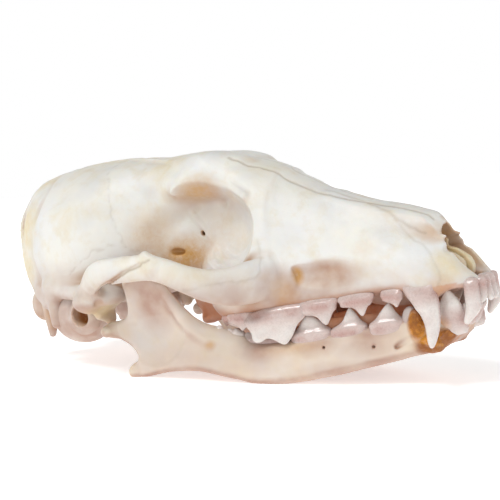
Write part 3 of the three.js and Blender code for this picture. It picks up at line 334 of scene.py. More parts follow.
def dot(a, b):
    return a[0] * b[0] + a[1] * b[1] + a[2] * b[2]


def from_segment(at, start, end):
    """How far along a segment its point nearest to at lies, from 0 to 1, and the way from there to at."""
    along = end - start
    way = [p - q for p, q in zip(at, start)]
    t = np.clip(dot(way, along) / (along @ along), 0, 1)
    return t, [way[i] - t * along[i] for i in range(3)]


def curve_through(points, steps, closed=False):
    """A Catmull-Rom curve through rows of numbers, as more rows."""
    rows = np.array(points, float)
    if closed:
        before, after = rows[-1:], rows[:2]
    else:
        before, after = 2 * rows[:1] - rows[1:2], 2 * rows[-1:] - rows[-2:-1]
    ext = np.vstack([before, rows, after])
    out = []
    for a, b, c, d in zip(ext, ext[1:], ext[2:], ext[3:]):
        for t in (step / steps for step in range(steps)):
            square, cube = (2 * a - 5 * b + 4 * c - d) * t**2, (3 * b - a - 3 * c + d) * t**3
            out.append(0.5 * (2 * b + (c - a) * t + square + cube))
    if not closed:
        out.append(rows[-1])
    return np.array(out)


def column(x, rows, which):
    """One column of a table of stations, read smoothly at x."""
    xs = np.array([r[0] for r in rows], float)
    vs = np.array([r[which] for r in rows], float)
    slope = np.gradient(vs, xs)
    at = np.clip(x, xs[0], xs[-1])
    i = np.clip(np.searchsorted(xs, at, side="right") - 1, 0, len(xs) - 2)
    h = xs[i + 1] - xs[i]
    t = (at - xs[i]) / h
    value = (
        (2 * t**3 - 3 * t**2 + 1) * vs[i]
        + (t**3 - 2 * t**2 + t) * h * slope[i]
        + (3 * t**2 - 2 * t**3) * vs[i + 1]
        + (t**3 - t**2) * h * slope[i + 1]
    )
    return value.astype(np.float32)


def oval(parts, radii):
    """Roughly the distance to an ellipsoid, from the parts of the way to its centre."""
    near = np.sqrt(sum((p / r) ** 2 for p, r in zip(parts, radii))) + 1e-6
    steep = np.sqrt(sum((p / r**2) ** 2 for p, r in zip(parts, radii))) + 1e-6
    return near * (near - 1) / steep


def ball(centre, radii, turn=(0, 0, 0)):
    """An ellipsoid, turned about x, then y, then z."""
    a, b, c = np.radians(turn)
    about_x = np.array([[1, 0, 0], [0, np.cos(a), -np.sin(a)], [0, np.sin(a), np.cos(a)]])
    about_y = np.array([[np.cos(b), 0, np.sin(b)], [0, 1, 0], [-np.sin(b), 0, np.cos(b)]])
    about_z = np.array([[np.cos(c), -np.sin(c), 0], [np.sin(c), np.cos(c), 0], [0, 0, 1]])
    turned = about_z @ about_y @ about_x

    def distance(x, y, z):
        d = (x - centre[0], y - centre[1], z - centre[2])
        if any(turn):
            d = [sum(turned[j, i] * d[j] for j in range(3)) for i in range(3)]
        return oval(d, radii)

    reach = np.full(3, max(radii)) if any(turn) else np.array(radii)
    return distance, np.array(centre) - reach, np.array(centre) + reach


def rod(start, end, start_radius, end_radius):
    """A round cone with round ends."""
    a, b = np.array(start, float), np.array(end, float)

    def distance(x, y, z):
        t, way = from_segment((x, y, z), a, b)
        return np.sqrt(dot(way, way)) - start_radius - t * (end_radius - start_radius)

    reach = max(start_radius, end_radius)
    return distance, np.minimum(a, b) - reach, np.maximum(a, b) + reach


def strap(stations):
    """A band with an oval section along a curve: x, y, z, half thickness across, half height."""
    rows = curve_through(stations, CURVE_STEPS)

    def distance(x, y, z):
        best = None
        for p, q in zip(rows[:-1], rows[1:]):
            along = q[:3] - p[:3]
            ahead = along / np.sqrt(along @ along)
            side = np.cross(ahead, (0, 0, 1))
            side /= np.linalg.norm(side)
            t, way = from_segment((x, y, z), p[:3], q[:3])
            wide, high = (p[i] + t * (q[i] - p[i]) for i in (3, 4))
            parts = [dot(way, v) for v in (side, np.cross(side, ahead), ahead)]
            here = oval(parts, (wide, high, np.minimum(wide, high)))
            best = here if best is None else np.minimum(best, here)
        return best

    reach = rows[:, 3:5].max(1)[:, None]
    return distance, (rows[:, :3] - reach).min(0), (rows[:, :3] + reach).max(0)


def loft(rows, top_power, low_power):
    """A body through sections that are rounder or squarer above and below their widest level."""

    def distance(x, y, z):
        half, top, low, wide = (column(x, rows, i) for i in (1, 2, 3, 4))
        rise = z - wide
        high = np.where(rise > 0, top - wide, wide - low)
        power = np.where(rise > 0, np.float32(top_power), np.float32(low_power))
        r = ((np.abs(y) / half) ** power + (np.abs(rise) / high) ** power + 1e-9) ** (1 / power)
        d = (np.sqrt(y * y + rise * rise) + 1e-3) * (1 - 1 / r)
        d = np.where(r < 0.2, -0.8 * np.minimum(half, high), d)  # near the axis, where 1 / r runs away
        ends = np.maximum(rows[0][0] - x, x - rows[-1][0])
        return -soft_min(-d, -ends, 1.0)

    table = np.array(rows, float)
    half = table[:, 1].max()
    low = np.array([table[0, 0], -half, table[:, 3].min()])
    return distance, low, np.array([table[-1, 0], half, table[:, 2].max()])


def half_space(point, outward):
    """Everything behind the plane through point that faces outward."""
    n = np.array(outward, float) / np.linalg.norm(outward)

    def distance(x, y, z):
        return dot((x - point[0], y - point[1], z - point[2]), n)

    return distance, np.full(3, -4e2), np.full(3, 4e2)


def joined(one, other, blend):
    """Two shapes as one, with their joint rounded over about blend millimetres."""

    def distance(x, y, z):
        return soft_min(one[0](x, y, z), other[0](x, y, z), blend)

    return distance, np.minimum(one[1], other[1]), np.maximum(one[2], other[2])


def both(one, other):
    """What two shapes share."""

    def distance(x, y, z):
        return np.maximum(one[0](x, y, z), other[0](x, y, z))

    return distance, one[1], one[2]


def outline_gap(edge, x, z):
    """Signed distance from (x, z) to a closed outline, negative inside it."""
    nearest = inside = None
    for a, b in zip(edge, np.roll(edge, -1, 0)):
        e = b - a
        t = np.clip(((x - a[0]) * e[0] + (z - a[1]) * e[1]) / (e @ e), 0, 1)
        gap = (x - a[0] - e[0] * t) ** 2 + (z - a[1] - e[1] * t) ** 2
        nearest = gap if nearest is None else np.minimum(nearest, gap)
        rise = b[1] - a[1] if b[1] != a[1] else 1e-9
        crossed = ((a[1] > z) != (b[1] > z)) & (x < (b[0] - a[0]) * (z - a[1]) / rise + a[0])
        inside = crossed if inside is None else inside ^ crossed
    return np.sqrt(nearest) * np.where(inside, -1, 1)


def jaw_plate():
    """Half of the lower jaw, upright: its outline seen from the side, bent along a middle surface."""
    edge = curve_through(JAW_OUTLINE, CURVE_STEPS, closed=True)
    hollow_x, hollow_z, hollow_length, hollow_height = 54, 3, 11, 13  # the muscle's hollow in the outer face
    hollow_depth = 0.7
    lean_from, lean = 4, 0.10  # the coronoid leans outwards above this level
    rounding = 2.4

    def distance(x, y, z):
        flat = outline_gap(edge, x, z)
        middle = column(x, JAW_MIDDLE, 1)
        thick = column(x, JAW_THICKNESS, 1)
        inside = 1 - ((x - hollow_x) / hollow_length) ** 2 - ((z - hollow_z) / hollow_height) ** 2
        hollow = np.clip(inside, 0, 1) ** 0.5
        middle = middle + lean * np.maximum(z - lean_from, 0) - hollow_depth * hollow
        thick = thick - hollow_depth / 2 * hollow
        edge_radius = np.minimum(thick, rounding)
        out = np.maximum(flat + edge_radius, 0)
        across = np.maximum(np.abs(y - middle) - (thick - edge_radius), 0)
        return np.minimum(np.sqrt(out * out + across * across) - edge_radius, FAR)

    low, high = edge.min(0) - 1, edge.max(0) + 1
    return distance, np.array([low[0], 0, low[1]]), np.array([high[0], 30, high[1]])


def crown(outline, middle, lean, turn, thick, neck):
    """A tooth's crown: its outline seen from the side, swollen each way and thinner towards the tip."""
    edge = curve_through(outline, 3, closed=True)
    low, high = edge.min(0), edge.max(0)
    mid_x, mid_z = (low + high) / 2
    tip = low[1] if neck > mid_z else high[1]
    swelling = 1.7
    slope = 1.3  # mean slope of the field below, which is divided out of it

    def distance(x, y, z):
        out = outline_gap(edge, x, z)
        t = np.clip((z - neck) / (tip - neck), 0, 1)
        half = thick[0] + (thick[1] - thick[0]) * t
        across = y - middle - lean * (z - mid_z) - turn * (x - mid_x)
        inset = half * swelling
        return (np.sqrt(np.maximum(out + inset, 0) ** 2 + (across * swelling) ** 2) - inset) / slope

    swing = thick[0] + abs(lean) * (high[1] - low[1]) / 2 + abs(turn) * (high[0] - low[0]) / 2
    return distance, np.array([low[0], middle - swing, low[1]]), np.array([high[0], middle + swing, high[1]])


class Form:
    """Shapes joined and cut in order, each with its own width of blend."""

    def __init__(self):
        self.steps = []

    def add(self, shape, blend=0):
        self.steps.append(("add", shape, blend))

    def cut(self, shape, blend=0):
        self.steps.append(("cut", shape, blend))

    def keep(self, shape, blend=0):
        self.steps.append(("keep", shape, blend))

    def field(self, axes):
        values = np.full([len(a) for a in axes], FAR, np.float32)
        for kind, (distance, low, high), blend in self.steps:
            spans = []
            for a, lo, hi in zip(axes, low, high):
                first, last = np.searchsorted(a, (lo - blend - MARGIN, hi + blend + MARGIN))
                spans.append(slice(0, len(a)) if kind == "keep" else slice(first, last))
            x, y, z = (a[s].astype(np.float32) for a, s in zip(axes, spans))
            if min(len(x), len(y), len(z)) == 0:
                continue
            d = distance(x[:, None, None], y[None, :, None], z[None, None, :])
            spans = tuple(spans)
            here = values[spans]
            if kind == "add":
                values[spans] = soft_min(here, d, blend)
            elif kind == "cut":
                values[spans] = -soft_min(-here, d, blend)
            else:
                values[spans] = -soft_min(-here, -d, blend)
        return values


# ---- from a field to a mesh
CORNERS = list(itertools.product((0, 1), repeat=3))


def surface_net(values, axes):
    """One vertex in each cell that the surface crosses, one quad for each crossed lattice edge."""
    shape = values.shape
    inside = values < 0
    windows = [tuple(slice(c, n - 1 + c) for c, n in zip(corner, shape)) for corner in CORNERS]
    full = sum(inside[window].astype(np.int8) for window in windows)
    cell = np.argwhere((full > 0) & (full < 8))
    number = np.full(full.shape, -1, np.int32)
    number[tuple(cell.T)] = np.arange(len(cell))
    total = np.zeros((len(cell), 3))
    count = np.zeros(len(cell))
    for axis in range(3):
        for start in (np.array(corner) for corner in CORNERS if not corner[axis]):
            end = start + np.eye(3, dtype=int)[axis]
            at_start = values[tuple((cell + start).T)]
            at_end = values[tuple((cell + end).T)]
            crossed = (at_start < 0) != (at_end < 0)
            t = np.where(crossed, at_start / np.where(crossed, at_start - at_end, 1), 0)
            point = np.tile(start.astype(float), (len(cell), 1))
            point[:, axis] += t
            total += point * crossed[:, None]
            count += crossed
    step = np.array([a[1] - a[0] for a in axes])
    points = np.stack([axes[i][cell[:, i]] for i in range(3)], 1) + total / count[:, None] * step
    quads = []
    for axis in range(3):
        others = [i for i in range(3) if i != axis]
        first = [slice(0, n) for n in shape]
        second = list(first)
        first[axis] = slice(0, shape[axis] - 1)
        second[axis] = slice(1, None)
        starts = inside[tuple(first)]
        edge = np.argwhere(starts != inside[tuple(second)])
        edge = edge[np.all([(edge[:, o] > 0) & (edge[:, o] < shape[o] - 1) for o in others], axis=0)]
        ring = []
        for du, dv in ((0, 0), (1, 0), (1, 1), (0, 1)):
            at = edge.copy()
            at[:, others[0]] -= du
            at[:, others[1]] -= dv
            ring.append(number[tuple(at.T)])
        ring = np.stack(ring, 1)
        outward = starts[tuple(edge.T)] ^ (axis == 1)
        ring[~outward] = ring[~outward][:, ::-1]
        quads.append(ring)
    return points, np.vstack(quads)


def shares(parts):
    """Each corner of a cell, and its share in a point that lies these parts of the way across the cell."""
    for corner in CORNERS:
        yield corner, math.prod(part if far else 1 - part for part, far in zip(parts, corner))


def read_field(values, axes, points):
    """The field between lattice points."""
    index, parts = [], []
    for i, axis in enumerate(axes):
        u = np.clip((points[:, i] - axis[0]) / (axis[1] - axis[0]), 0, len(axis) - 1.001)
        index.append(u.astype(int))
        parts.append(u - index[-1])
    out = np.zeros(len(points))
    for corner, share in shares(parts):
        out += share * values[tuple(i + c for i, c in zip(index, corner))]
    return out


def slope_of(values, axes, points, reach):
    """The field's slope at points, as rows."""
    out = np.zeros((len(points), 3))
    for i in range(3):
        move = np.zeros(3)
        move[i] = reach
        out[:, i] = read_field(values, axes, points + move) - read_field(values, axes, points - move)
    return out / (2 * reach)


class Skin:
    """A meshed form: points, quads, outward normals, and how deep each point lies in a hollow, which the
    paints use for painted shade.
    """

    def __init__(self, form, box, step, two_sided=False):
        axes = [np.arange(low, high + step, step) for low, high in zip(*box)]
        if two_sided:  # only the left half of the field is worked out
            axes[1] = (np.arange(int(box[1][1] / step) + 2) + 0.5) * step
        values = form.field(axes)
        if two_sided:
            values = np.concatenate([values[:, ::-1], values], 1)
            axes[1] = np.concatenate([-axes[1][::-1], axes[1]])
        self.points, self.quads = surface_net(values, axes)
        for _ in range(2):  # two small moves bring the points onto the surface
            slope = slope_of(values, axes, self.points, step * 0.6)
            steep = np.maximum((slope**2).sum(1), 0.25)
            move = -read_field(values, axes, self.points)[:, None] * slope / steep[:, None]
            self.points += np.clip(move, -0.3 * step, 0.3 * step)
        slope = slope_of(values, axes, self.points, step)
        self.normals = slope / np.maximum(np.linalg.norm(slope, axis=1), 1e-6)[:, None]
        depth = np.zeros(len(self.points))
        for reach in (1.5, 3.5):
            depth += np.clip(1 - read_field(values, axes, self.points + reach * self.normals) / reach, 0, 1)
        self.hollow = depth / 2

    def mirrored(self):
        """The same skin on the animal's other side."""
        other = copy.copy(self)
        other.points, other.normals = self.points * (1, -1, 1), self.normals * (1, -1, 1)
        other.quads = self.quads[:, ::-1]
        return other


# ---- the bones
def braincase_and_snout(form):
    form.add(loft(BRAINCASE, 2.3, 2.5))
    form.add(loft(SOCKET_WALL, 2.4, 2.4), 4)
    form.add(loft(FOREHEAD, 2.3, 2.2), 3)
    form.add(loft(SNOUT, 2.15, 6), 2.5)
    form.add(ball((69, 6.6, 42), (14, 6.5, 4), (0, 3, 0)), 4)  # swelling of the forehead
    form.add(ball((80.5, 14, 6), (10.5, 6.6, 7.6)), 2)  # back end of the upper jaw
    form.add(ball((75, 9, 13), (10, 5.6, 8.4)), 3)  # floor of the eye socket


def eye_socket_and_brow(form):
    socket = ball((76, 26, 24.6), (14.4, 17.2, 13.8))
    form.cut(socket, 1.0)
    form.add(rod((72, 10.5, 41.4), (66.4, 17, 37.2), 4, 1.2), 2.5)  # point of the brow
    form.add(rod((66, 14.6, 38), (54.5, 10, 41), 2.2, 3.6), 4)
    form.add(rod((62, 10.8, 36), (51, 11.4, 32), 3.8, 4.6), 4)
    form.add(strap(BROW_RIM), 1.8)
    form.cut(ball((71, 24, 29), (9, 12, 9.5)), 0.6)
    form.cut(joined(socket, ball((72.5, 24, 31), (10.6, 10.3, 9.9)), 3), 0.3)
    form.add(strap(TEMPORAL_LINE), 1.6)


def jaw_hinge_and_ear_ridge(form):
    form.add(ball((38, 24, 11), (6.8, 8.5, 4.2)), 3)
    form.cut(rod((42.5, 16, 4.4), (41.5, 31, 4.8), 4.4, 4.4), 1)
    form.add(rod((36, 18.6, 7.5), (36.2, 18.8, 4.6), 2, 1.3), 1.5)
    form.add(rod((36.2, 18.8, 5), (36.4, 23.5, 6.2), 1.5, 1.2), 1.5)
    form.add(strap(EAR_RIDGE), 3.4)


def back_of_the_skull(form):
    form.add(rod((17.6, 20.8, 17), (17, 20.5, 5.6), 2.7, 1.7), 2)  # behind the ear
    form.add(rod((12, 16.5, 14), (10.2, 16.4, 2.3), 3.4, 1.1), 2)  # hook beside the condyle
    form.cut(ball((-8, 0, 33), (12, 9, 9)), 3)
    form.cut(strap(CREST_GROOVE), 1.2)
    form.add(strap(NUCHAL_CREST), 1.5)
    form.add(rod((8, 0, 49.7), (34, 0, 50.3), 0.9, 0.5), 1.2)  # crest along the top
    form.add(ball((2.9, 9.6, 11.4), (4.5, 4.3, 5.4), (0, 0, -20)), 2.4)  # condyle
    form.cut(rod((-8, 0, 17.5), (14, 0, 18.5), 6.2, 4.8), 1)  # opening for the spine


def underside(form):
    form.cut(loft(THROAT_CHANNEL, 2.3, 4), 1)
    form.add(strap(PTERYGOID_PLATE), 1.0)
    form.add(strap(PLATE_EDGE), 0.8)
    form.cut(loft(PALATE_VAULT, 2.5, 4), 1.2)
    form.cut(rod((62, 0, 8.2), (86, 0, 8.6), 4.2, 3.2), 1)


def cheek(form):
    form.add(strap(CHEEK_ARCH), 1.6)
    form.add(rod((68.6, 36.6, 17.6), (67, 36.5, 21), 1.9, 0.8), 1.5)
    form.cut(strap(ARCH_GROOVE), 0.5)
    form.cut(ball((107.5, 17.2, 8.2), (10.5, 4.4, 4)), 2)  # hollow ahead of the canal below the eye
    canal = ball((100.2, 17.6, 8.9), (5.2, 3.5, 3.4))
    form.cut(both(canal, half_space((97.3, 0, 9), (-1, 0, -0.1))), 0.3)


def socket_details(form):
    form.cut(rod((67.9, 12, 24.5), (67.5, 6, 24.3), 0.9, 0.9), 0.5)  # three openings in its wall
    form.cut(ball((58.8, 12.2, 20.3), (2.1, 3, 1), (0, 10, 0)), 0.8)
    form.cut(ball((53.6, 13.2, 17.5), (2.2, 3.4, 1.6), (0, 20, 0)), 0.6)
    form.add(strap(SOCKET_RIB), 0.9)


def nose(form):
    """The snout cut off at a slant, with its opening, notches in the rim, spongy bone and septum."""
    form.keep(half_space((134.5, 5.2, 13), (0.43, 0.65, 0.62)), 2)
    form.add(strap(NASAL_ROOF), 4)
    form.keep(half_space((133.05, 0, 18.4), (0.8, 0.3, 0.52)), 0.6)
    form.cut(ball((140, 0, 7.8), (30, 6.2, 8.3)), 0.5)
    form.cut(ball((137, 7.6, 10.2), (2, 2.2, 1.5)), 0.5)
    form.cut(ball((135, 5.4, 15.2), (1.6, 2.2, 1.5)), 0.5)
    form.add(rod((132.6, 5.4, 13.2), (135, 5.1, 12.9), 0.6, 0.4), 0.5)
    form.add(ball((122, 0, 4.5), (17.4, 8, 8)), 0.5)  # spongy bone
    for slot in NOSE_SLOTS:
        form.cut(strap(slot), 0.4)
    form.add(strap(NOSE_SEPTUM), 0.4)


def cranium_form():
    form = Form()
    braincase_and_snout(form)
    eye_socket_and_brow(form)
    form.add(rod((130.5, 9.3, 2.5), (118.5, 9.4, 13), 4.2, 3.2), 3)  # root of the canine
    jaw_hinge_and_ear_ridge(form)
    back_of_the_skull(form)
    underside(form)
    cheek(form)
    socket_details(form)
    nose(form)
    return form


def bulla_form():
    """The ear capsule."""
    form = Form()
    form.add(ball((22.3, 14.4, 7), (11.2, 7.8, 8.7), (0, 8, 8)))
    form.add(rod((27.6, 16.5, 7.6), (29.6, 20.4, 7.2), 5.6, 5), 1.5)
    form.add(strap(EAR_RING), 1.2)
    form.cut(rod((29, 21.8, 7), (30, 30, 6.6), 3, 3.5), 0.5)
    return form


def jaw_form():
    form = Form()
    form.add(jaw_plate())
    form.add(rod((41, 17.8, 1.6), (39.8, 25.4, 1.6), 1.9, 1.6), 1.5)  # condyle
    form.add(rod((44.8, 20.6, -10.4), (45.2, 22.8, -10.6), 1.5, 1.5), 1.5)  # corner
    form.add(rod((131.6, 5.9, -9.6), (126, 7.2, -10.8), 2.9, 3.1), 2)  # root of the canine
    # a ridge inside the tooth row, painted brown as shade
    form.add(strap(SHADE_RIDGE), 1)
    form.add(strap(MUSCLE_RIDGE), 2.2)
    form.cut(rod((102.4, 16, -10), (101.4, 14.2, -10.2), 0.45, 0.35), 0.4)  # openings for the nerves
    form.cut(rod((115, 13.2, -11.6), (113.8, 11, -11.6), 0.45, 0.35), 0.4)
    form.cut(rod((124.4, 11.2, -10.2), (119.6, 10, -12.4), 0.75, 0.5), 0.8)
    form.add(ball((125.6, 8.8, -7.6), (1.9, 1.6, 4)), 0.8)  # crust beside the canine
    form.add(ball((128.6, 8.4, -12.2), (3.6, 2.2, 2.5)), 0.8)
    form.add(ball((131, 7.4, -11.2), (2.2, 2, 1.8)), 0.8)
    form.keep(half_space((0, 0.15, 0), (0, -1, 0)), 0.3)
    return form


def tooth_form(neck, radii, cusps):
    form = Form()
    form.add(ball(neck, radii))
    for foot, tip, foot_radius, tip_radius in cusps:
        form.add(rod(foot, tip, foot_radius, tip_radius), 0.8)
    return form


# ---- fine relief
RANDOM = np.random.default_rng(7).random((32, 32, 32))
SEAM_WIDTH = 0.34
SEAM_DEPTH = 0.22  # of a seam whose own depth is 1
SNAP_REACH = 3.0  # how far a seam looks for the surface
SWELLS = ((5.5, 0.16), (1.6, 0.09))  # size and height of the unevenness of all bone
RIDGE_CENTRE, RIDGE_PITCH, RIDGE_HEIGHT = (79, 0, 23), 0.3, 0.3  # ridges in the floor of the eye socket
RIDGE_SPOT = (75, 13, 16), (8, 6, 6)
NOSE_LUMPS = [((132, 0, 8), (8, 5.6, 8), 0.9)]
CRUST_LUMP = 1.1


def fade(values, start, end):
    """0 at start, 1 at end, and level beyond them."""
    return np.clip((values - start) / (end - start), 0, 1)


def bell(values, middle, width):
    return np.exp(-(((values - middle) / width) ** 2))


def spot(points, centre, radius):
    """1 at centre on either side of the skull, fading to 0 at about radius."""
    folded = points * (1, 0, 1) + np.abs(points) * (0, 1, 0)
    gap = np.linalg.norm((folded - centre) / radius, axis=1)
    return np.clip(1.3 - gap * 1.3, 0, 1)


def noise(points, size):
    """Smooth noise from 0 to 1 with features about size millimetres across."""
    at = points / size
    base = np.floor(at).astype(int)
    t = at - base
    t = t * t * (3 - 2 * t)
    out = np.zeros(len(points))
    for corner, share in shares(t.T):
        out += share * RANDOM[tuple(((base + corner) % len(RANDOM)).T)]
    return out


def settled(line, points):
    """A line through stations, moved onto the surface."""
    rows = curve_through(line, CURVE_STEPS)
    for row in rows:
        close = points[np.all(np.abs(points - row) < SNAP_REACH, axis=1)]
        if len(close):
            row[:] = close[np.argmin(((close - row) ** 2).sum(1))]
    return rows


def near_line(points, rows):
    """Distance from each point to a line, on either side of the skull."""
    folded = points * (1, 0, 1) + np.abs(points) * (0, 1, 0)
    best = np.full(len(points), 9.0)
    for a, b in zip(rows[:-1], rows[1:]):
        low, high = np.minimum(a, b) - 2, np.maximum(a, b) + 2
        close = np.all((folded > low) & (folded < high), axis=1)
        d = folded[close] - a
        along = b - a
        t = np.clip(d @ along / (along @ along), 0, 1)
        best[close] = np.minimum(best[close], np.linalg.norm(d - t[:, None] * along, axis=1))
    return best


def facing(points, quads):
    """Unit normals of a mesh's vertices, from its quads."""
    across = np.cross(points[quads[:, 2]] - points[quads[:, 0]], points[quads[:, 3]] - points[quads[:, 1]])
    out = np.zeros(points.shape)
    for corner in range(4):
        for i in range(3):
            out[:, i] += np.bincount(quads[:, corner], across[:, i], len(points))
    return out / np.maximum(np.linalg.norm(out, axis=1), 1e-9)[:, None]


def lift(skin, heights):
    """Moves a skin's points along its normals, and turns the normals to suit."""
    before = facing(skin.points, skin.quads)
    skin.points = skin.points + heights[:, None] * skin.normals
    bent = skin.normals + facing(skin.points, skin.quads) - before
    skin.normals = bent / np.maximum(np.linalg.norm(bent, axis=1), 1e-6)[:, None]


def relieve(skin, sutures, lumps=()):
    """Presses sutures into a skin and makes its surface a little uneven, more so at the lumps."""
    points = skin.points
    wave = np.stack([noise(points + s, 1.7) - 0.5 for s in (0, 50, 90)], 1)
    skin.seam = np.zeros(len(points))
    for depth, waver, line in sutures.values():
        gap = near_line(points + waver * wave, settled(line, points))
        skin.seam = np.maximum(skin.seam, depth * bell(gap, 0, SEAM_WIDTH))
    swell = sum(height * (noise(points, size) - 0.5) for size, height in SWELLS)
    radius = np.linalg.norm(points * (1, 0, 1) - RIDGE_CENTRE, axis=1)
    swell += RIDGE_HEIGHT * np.sin(radius / RIDGE_PITCH + 3 * wave[:, 0]) * spot(points, *RIDGE_SPOT)
    for centre, size, height in lumps:
        swell += height * (noise(points, 2) - 0.5) * np.minimum(2 * spot(points, centre, size), 1)
    lift(skin, swell - SEAM_DEPTH * skin.seam)


def crown_skin(row, neck):
    """One crown, with a low collar above its neck and a waist over that."""
    shape = crown(*row, neck)
    form = Form()
    form.add(shape)
    skin = Skin(form, (shape[1] - 1, shape[2] + 1), TOOTH_STEP)
    height = np.abs(skin.points[:, 2] - neck)
    tall = height.max()
    broad = np.ptp(skin.points[:, 0]) > 0.9 * np.ptp(skin.points[:, 2])
    collar = broad * (bell(height, 0.2 * tall, 0.14 * tall) - 0.8 * bell(height, 0.5 * tall, 0.2 * tall))
    lift(skin, 0.05 * tall * collar + 0.12 * (noise(skin.points, 1.9) - 0.5))
    return skin


def small_tooth_skin(neck, radii, cusps):
    ends = [(neck, max(radii))] + [(point, max(cusp[2:])) for cusp in cusps for point in cusp[:2]]
    low = np.min([np.subtract(point, reach) for point, reach in ends], 0) - 1
    high = np.max([np.add(point, reach) for point, reach in ends], 0) + 1
    return Skin(tooth_form(neck, radii, cusps), (low, high), TOOTH_STEP)


def teeth_skin(crowns, small_teeth, neck):
    """One side's upper or lower teeth as a single skin."""
    skins = [crown_skin(row, neck) for row in crowns] + [small_tooth_skin(*row) for row in small_teeth]
    whole = copy.copy(skins[0])
    starts = np.cumsum([0] + [len(skin.points) for skin in skins])
    whole.points = np.vstack([skin.points for skin in skins])
    whole.normals = np.vstack([skin.normals for skin in skins])
    whole.quads = np.vstack([skin.quads + start for skin, start in zip(skins, starts)])
    whole.hollow = np.concatenate([skin.hollow for skin in skins])
    return whole


# ---- Blender meshes
def turned(vectors):
    """Directions in the skull's frame, in the model's."""
    c, s = math.cos(NOSE_UP), math.sin(NOSE_UP)
    x, y, z = vectors.T
    return np.stack([c * x - s * z, y, s * x + c * z], 1)


def placed(points):
    """From the skull's frame in millimetres to the model's in metres."""
    return (turned(points) + SHIFT) / 1000


def add_object(name, data):
    obj = bpy.data.objects.new(name, data)
    bpy.context.collection.objects.link(obj)
    return obj


def piece(name, skin, chosen, masks, material, node):
    """A mesh of the chosen quads of a skin, with its masks, riding on the part's one body."""
    used, quads = np.unique(skin.quads[chosen], return_inverse=True)
    quads = quads.reshape(-1, 4)
    places = np.clip(placed(skin.points[used]), CAD_LOW, CAD_HIGH)
    mesh = bpy.data.meshes.new(name)
    mesh.vertices.add(len(places))
    mesh.vertices.foreach_set("co", places.astype(np.float32).ravel())
    mesh.loops.add(quads.size)
    mesh.loops.foreach_set("vertex_index", quads.ravel().astype(np.int32))
    mesh.polygons.add(len(quads))
    mesh.polygons.foreach_set("loop_start", np.arange(0, quads.size, 4, dtype=np.int32))
    mesh.update(calc_edges=True)
    mesh.validate()
    mesh.polygons.foreach_set("use_smooth", np.ones(len(mesh.polygons), bool))
    mesh.normals_split_custom_set_from_vertices(turned(skin.normals[used]).astype(np.float32).tolist())
    for mask, values in masks.items():
        layer = mesh.attributes.new(mask, "FLOAT", "POINT")
        layer.data.foreach_set("value", values[used].astype(np.float32))
    mesh.materials.append(material)
    obj = add_object(name, mesh)
    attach(obj, "root")
    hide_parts(node)


# ---- materials
class Paint:
    """A node material with a Principled surface and small helpers for its colour chain."""

    def __init__(self, name):
        self.material = bpy.data.materials.new(name)
        self.material.use_nodes = True
        self.tree = self.material.node_tree
        self.shader = self.tree.nodes["Principled BSDF"]
        self.place = self.node("ShaderNodeTexCoord").outputs["Object"]

    def feed(self, node, inputs):
        """Sets a node's sockets, or links them where the value is another node's output."""
        for name, value in inputs.items():
            socket = node.inputs[name]
            if isinstance(value, bpy.types.NodeSocket):
                self.tree.links.new(value, socket)
            elif value is not None:
                socket.default_value = (*value, 1) if socket.type == "RGBA" else value

    def node(self, kind, inputs=None, **settings):
        made = self.tree.nodes.new(kind)
        for name, value in settings.items():
            setattr(made, name, value)
        self.feed(made, inputs or {})
        return made

    def noise(self, size_mm, detail, rough, warp=0.0):
        look = {"Scale": 1000 / size_mm, "Detail": detail, "Roughness": rough, "Distortion": warp}
        return self.node("ShaderNodeTexNoise", {"Vector": self.place, **look}).outputs["Fac"]

    def ramp(self, source, *stops):
        """A colour that runs between two stops."""
        made = self.node("ShaderNodeValToRGB", {"Fac": source})
        for mark, (at, colour) in zip(made.color_ramp.elements, stops):
            mark.position = at
            mark.color = (*colour, 1)
        return made.outputs["Color"]

    def between(self, source, low, high, out_low, out_high):
        limits = {"From Min": low, "From Max": high, "To Min": out_low, "To Max": out_high}
        return self.node("ShaderNodeMapRange", {"Value": source, **limits}).outputs["Result"]

    def times(self, a, b):
        return self.node("ShaderNodeMath", {0: a, 1: b}, operation="MULTIPLY").outputs[0]

    def tint(self, base, colour, amount):
        """base with colour laid over it by amount."""
        return self.node("ShaderNodeMix", {0: amount, 6: base, 7: colour}, data_type="RGBA").outputs[2]

    def mask(self, name):
        return self.node("ShaderNodeAttribute", attribute_name=name).outputs["Fac"]

    def relief(self, heights):
        """Normals bent by (height, millimetres, strength), each laid over the one before."""
        normal = None
        for height, depth, strength in heights:
            inputs = {"Height": height, "Distance": depth / 1000, "Strength": strength, "Normal": normal}
            normal = self.node("ShaderNodeBump", inputs).outputs["Normal"]
        return normal


